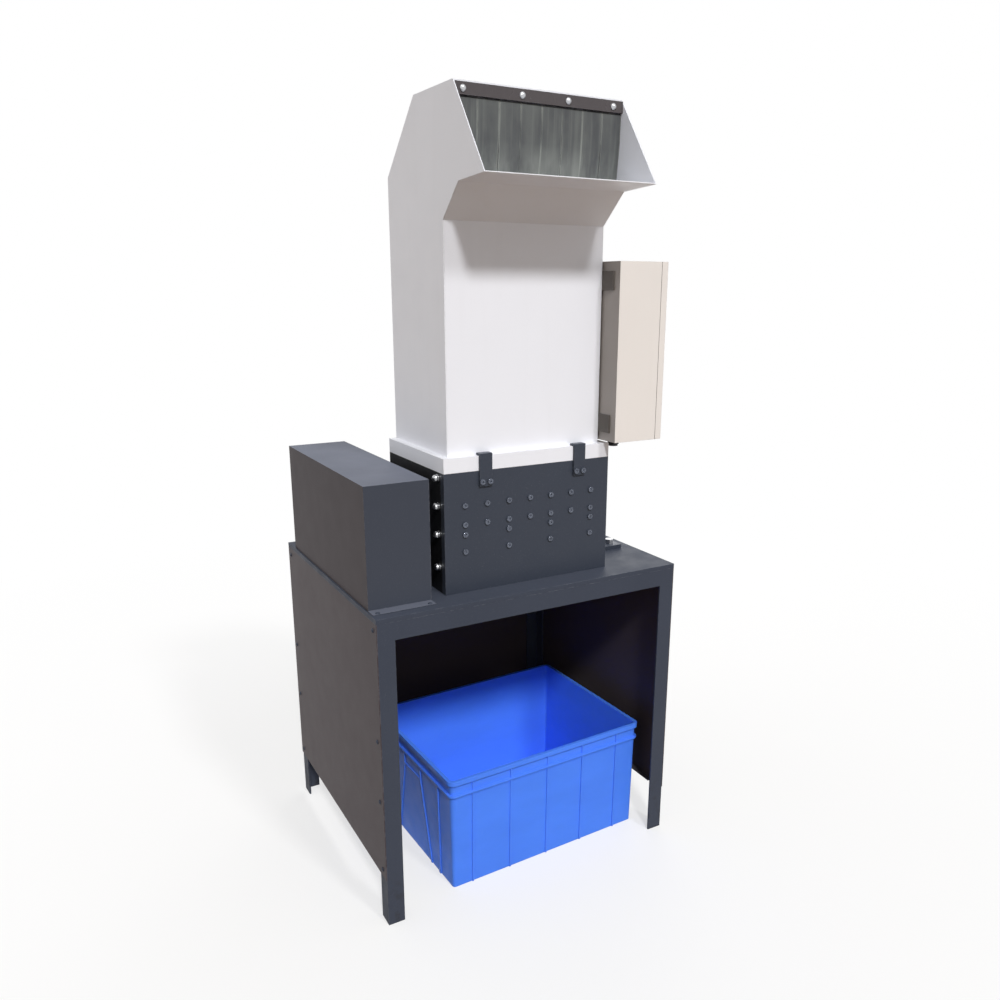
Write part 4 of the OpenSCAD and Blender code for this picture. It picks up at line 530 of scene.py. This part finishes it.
gearLow, gearHigh = (np.array(c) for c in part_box("control_gear"))
gearMiddle = (gearLow[1] + gearHigh[1]) / 2
blockWide = gear["wide"]
boxFoot = gearLow[2] - gear["margin"]
gearFoot = boxFoot + gear["boxHigh"] * gear["footShare"]
clampFoot = boxFoot + gear["boxHigh"] * gear["clampShare"]
clampTop = clampFoot + blockWide
clampsAt = [gearMiddle + blockWide * ((k - 4) * gear["clampPitch"] + gear["clampHalf"]) for k in range(8)]
leftBlock, rightBlock = gearMiddle - blockWide * 0.6, gearMiddle + blockWide * 0.6
reliefFoot, blockTop = gearFoot - blockWide * 1.4, gearFoot + blockWide * 1.6
outerSide = rightBlock + blockWide / 2
clampX, wayX, relayX, pitch, into = (wires[k] for k in ("clampX", "wayX", "relayX", "pitch", "into"))
darkWires, redWires = [], []
for k in range(3):  # clamps up to the relay under the left contactor
    top = leftBlock + (k - 1) * pitch
    darkWires.append([
        (clampX, clampsAt[k], clampTop - into), (clampX + 0.006, clampsAt[k], clampTop + 0.006),
        (relayX, top, reliefFoot - 0.006), (relayX, top, reliefFoot + into)])
for k in range(3):  # clamps up to the right contactor
    top = rightBlock + (k - 1) * pitch
    darkWires.append([
        (clampX, clampsAt[k + 4], clampTop - into), (clampX + 0.008, clampsAt[k + 4], clampTop + 0.012),
        (0.246, top + 0.004, gearFoot - 0.04), (wayX, top, gearFoot - 0.008), (wayX, top, gearFoot + into)])
for k in range(3):  # from one contactor's head to the other's
    rise = 0.012 + 0.006 * k
    start, end = leftBlock + (k - 1) * pitch, rightBlock + (k - 1) * pitch
    darkWires.append([
        (wayX, start, blockTop - into), (wayX, start + 0.003, blockTop + rise * 0.8),
        (wayX, gearMiddle, blockTop + rise), (wayX, end - 0.003, blockTop + rise * 0.8),
        (wayX, end, blockTop - into)])
for k in range(2):  # control wires from the right contactor's side down to the last clamps
    redWires.append([
        (0.232 + 0.006 * k, outerSide - 0.003, blockTop - 0.012),
        (0.232 + 0.006 * k, outerSide + 0.012, blockTop - 0.02), (0.228 + 0.006 * k, outerSide + 0.018, gearFoot),
        (0.23, clampsAt[6 + k] + 0.01, clampTop + 0.03), (clampX, clampsAt[6 + k], clampTop - into)])
glandLow, glandHigh = (np.array(c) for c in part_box("cable_gland"))
glandX, glandY = ((glandLow + glandHigh) / 2)[:2]
for k in range(4):  # single cores from the gland up to the first clamps
    darkWires.append([
        (glandX, glandY, glandHigh[2] - into), (glandX - 0.004, glandY + (k - 1.5) * 0.004, glandHigh[2] + 0.02),
        (clampX + 0.004, clampsAt[k], clampFoot - 0.01), (clampX, clampsAt[k], clampFoot + into)])
screwHeads = []
screw, screwHigh = wires["screw"], wires["screwHigh"]
blocks = (
    (leftBlock, gearFoot, wires["gearX"], blockTop), (rightBlock, gearFoot, wires["gearX"], blockTop),
    (leftBlock, reliefFoot, wires["lowGearX"], gearFoot))
for middle, foot, face, head in blocks:
    for row in (foot + 0.008, head - 0.008):
        for k in range(3):  # a round head with a cup in it
            screwHeads.append(turnedAboutX(middle + (k - 1) * pitch, row, [
                (face - 0.0004, 0.001), (face - 0.0004, screw), (face + screwHigh * 0.6, screw),
                (face + screwHigh, screw * 0.6), (face + screwHigh * 0.5, screw * 0.45),
                (face + screwHigh * 0.5, 0.0004)], 20))
darkWires = [tubeThrough(way, wires["radius"]) for way in darkWires]
redWires = [tubeThrough(way, wires["radius"]) for way in redWires]
wiring = (
    ("switch_wires", darkWires, "glandPlastic", "gland_plastic", True),
    ("control_wires", redWires, "redPlastic", "red_plastic", True),
    ("switch_screws", screwHeads, "zincFastener", "zinc_fastener", False))
for name, grids, finish, slot, smooth in wiring:
    piece = joinGrids(name, grids, finishes[finish], smooth=smooth)
    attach(piece, "machine")
print("switch box wiring made")

view = {  # focal length and centre in the photograph's own pixels, place in metres, angles in radians
    "focal": 865.116, "centre": (511.442, 524.267), "place": (-0.938, -1.8025, 1.358),
    "yaw": -0.515, "pitch": 0.266, "roll": 0.002, "frame": 1000}
level = Vector((-math.sin(view["yaw"]), math.cos(view["yaw"]), 0))
right = Vector((math.cos(view["yaw"]), math.sin(view["yaw"]), 0))
upright = Vector((0, 0, 1))
forward = level * math.cos(view["pitch"]) - upright * math.sin(view["pitch"])
above = upright * math.cos(view["pitch"]) + level * math.sin(view["pitch"])
cosRoll, sinRoll = math.cos(view["roll"]), math.sin(view["roll"])
cameraX = right * cosRoll + above * sinRoll
cameraY = above * cosRoll - right * sinRoll
cameraData = bpy.data.cameras.new("photographView")
cameraData.sensor_width = 36
cameraData.lens = view["focal"] * 36 / view["frame"]
cameraData.shift_x = 0.5 - view["centre"][0] / view["frame"]
cameraData.shift_y = view["centre"][1] / view["frame"] - 0.5
cameraData.clip_start = 0.05
cameraData.clip_end = 60
camera = bpy.data.objects.new("photographView", cameraData)
bpy.context.scene.collection.objects.link(camera)
turned = Matrix((cameraX, cameraY, -forward)).transposed().to_4x4()
camera.matrix_world = Matrix.Translation(Vector(view["place"])) @ turned
bpy.context.scene.camera = camera
print("camera set")


studio = {
    "floor": 14.0, "floorSeen": (240, 239, 238), "floorLit": (122, 103, 84), "ambient": 0.43, "fadeFrom": 0.9,
    "fadeTo": 3.0, "height": 43.5, "leftTurn": 17, "leftPower": 1.75, "rightTurn": -13, "rightPower": 1.0,
    "spread": 7.0, "fillSize": 2.4, "leftFill": 10, "leftFillAt": (-3.2, 0.9, 1.5), "leftFillAim": (0.0, 0.0, 1.0),
    "rearFill": 18, "rearFillAt": (2.4, 2.8, 2.2), "rearFillAim": (0.0, 0.0, 0.9)}


def whiteForView(tree):  # 1 for rays that show the background: camera, glossy and see-through ones
    path = place(tree, "ShaderNodeLightPath")
    seen = sums(tree, "MAXIMUM", path.outputs["Is Camera Ray"], path.outputs["Is Glossy Ray"])
    return sums(tree, "MAXIMUM", seen, path.outputs["Is Transmission Ray"])


world = bpy.data.worlds.new("studio")
bpy.context.scene.world = world
world.use_nodes = True
worldTree = world.node_tree
worldTree.nodes.clear()
strength = between(worldTree, whiteForView(worldTree), 0.0, 1.0, (studio["ambient"], 1.0))
backdrop = place(worldTree, "ShaderNodeBackground", {"Color": (1, 1, 1, 1), "Strength": strength})
place(worldTree, "ShaderNodeOutputWorld", {"Surface": backdrop.outputs[0]})

floorMaterial, floorTree = newMaterial("paleFloor")
floorPoints = objectPoints(floorTree)
clouds = between(floorTree, cloudy(floorTree, floorPoints, 2.0, 4.0), 0.3, 0.7, (0.97, 1.0))
seen = mixColour(floorTree, clouds, (0.5, 0.5, 0.5, 1.0), fromScreen(*studio["floorSeen"]))
bounced = place(floorTree, "ShaderNodeLightPath").outputs["Is Diffuse Ray"]
floorTone = mixColour(floorTree, bounced, seen, fromScreen(*studio["floorLit"]))
floorShader = place(floorTree, "ShaderNodeBsdfPrincipled", {"Base Color": floorTone, "Roughness": 0.7})
glow = place(floorTree, "ShaderNodeEmission", {"Color": (1, 1, 1, 1), "Strength": 1.0})
reach = place(floorTree, "ShaderNodeVectorMath", {0: floorPoints}, operation="LENGTH").outputs["Value"]
fade = between(floorTree, reach, studio["fadeFrom"], studio["fadeTo"], (0.55, 1.0))
floorMix = place(floorTree, "ShaderNodeMixShader", {
    0: sums(floorTree, "MULTIPLY", fade, whiteForView(floorTree)), 1: floorShader.outputs[0], 2: glow.outputs[0]})
place(floorTree, "ShaderNodeOutputMaterial", {"Surface": floorMix.outputs[0]})
half = studio["floor"]
floorMesh = bpy.data.meshes.new("floor")
floorMesh.from_pydata([(-half, -half, 0), (half, -half, 0), (half, half, 0), (-half, half, 0)], [], [(0, 1, 2, 3)])
floorMesh.materials.append(floorMaterial)
floor = bpy.data.objects.new("floor", floorMesh)
bpy.context.scene.collection.objects.link(floor)


# a broad far lamp: height and turn in degrees, the turn counted from straight in front towards the left
def farLamp(name, power, height, turn):
    lamp = bpy.data.lights.new(name, "SUN")
    lamp.energy = power
    lamp.angle = math.radians(studio["spread"])
    up, side = math.radians(height), math.radians(turn)
    towards = Vector((-math.cos(up) * math.sin(side), -math.cos(up) * math.cos(side), math.sin(up)))
    piece = bpy.data.objects.new(name, lamp)
    bpy.context.scene.collection.objects.link(piece)
    piece.matrix_world = (-towards).to_track_quat("-Z", "Y").to_matrix().to_4x4()


# a soft round lamp at a place, turned to what it lights
def nearLamp(name, power, size, where, aim):
    lamp = bpy.data.lights.new(name, "AREA")
    lamp.energy = power
    lamp.shape = "DISK"
    lamp.size = size
    piece = bpy.data.objects.new(name, lamp)
    bpy.context.scene.collection.objects.link(piece)
    direction = Vector(aim) - Vector(where)
    piece.matrix_world = Matrix.Translation(Vector(where)) @ direction.to_track_quat("-Z", "Y").to_matrix().to_4x4()


farLamp("leftKey", studio["leftPower"], studio["height"], studio["leftTurn"])
farLamp("rightKey", studio["rightPower"], studio["height"], studio["rightTurn"])
for name in ("leftFill", "rearFill"):
    nearLamp(name, studio[name], studio["fillSize"], studio[name + "At"], studio[name + "Aim"])
bpy.context.scene.view_settings.view_transform = "Standard"
print("studio set")
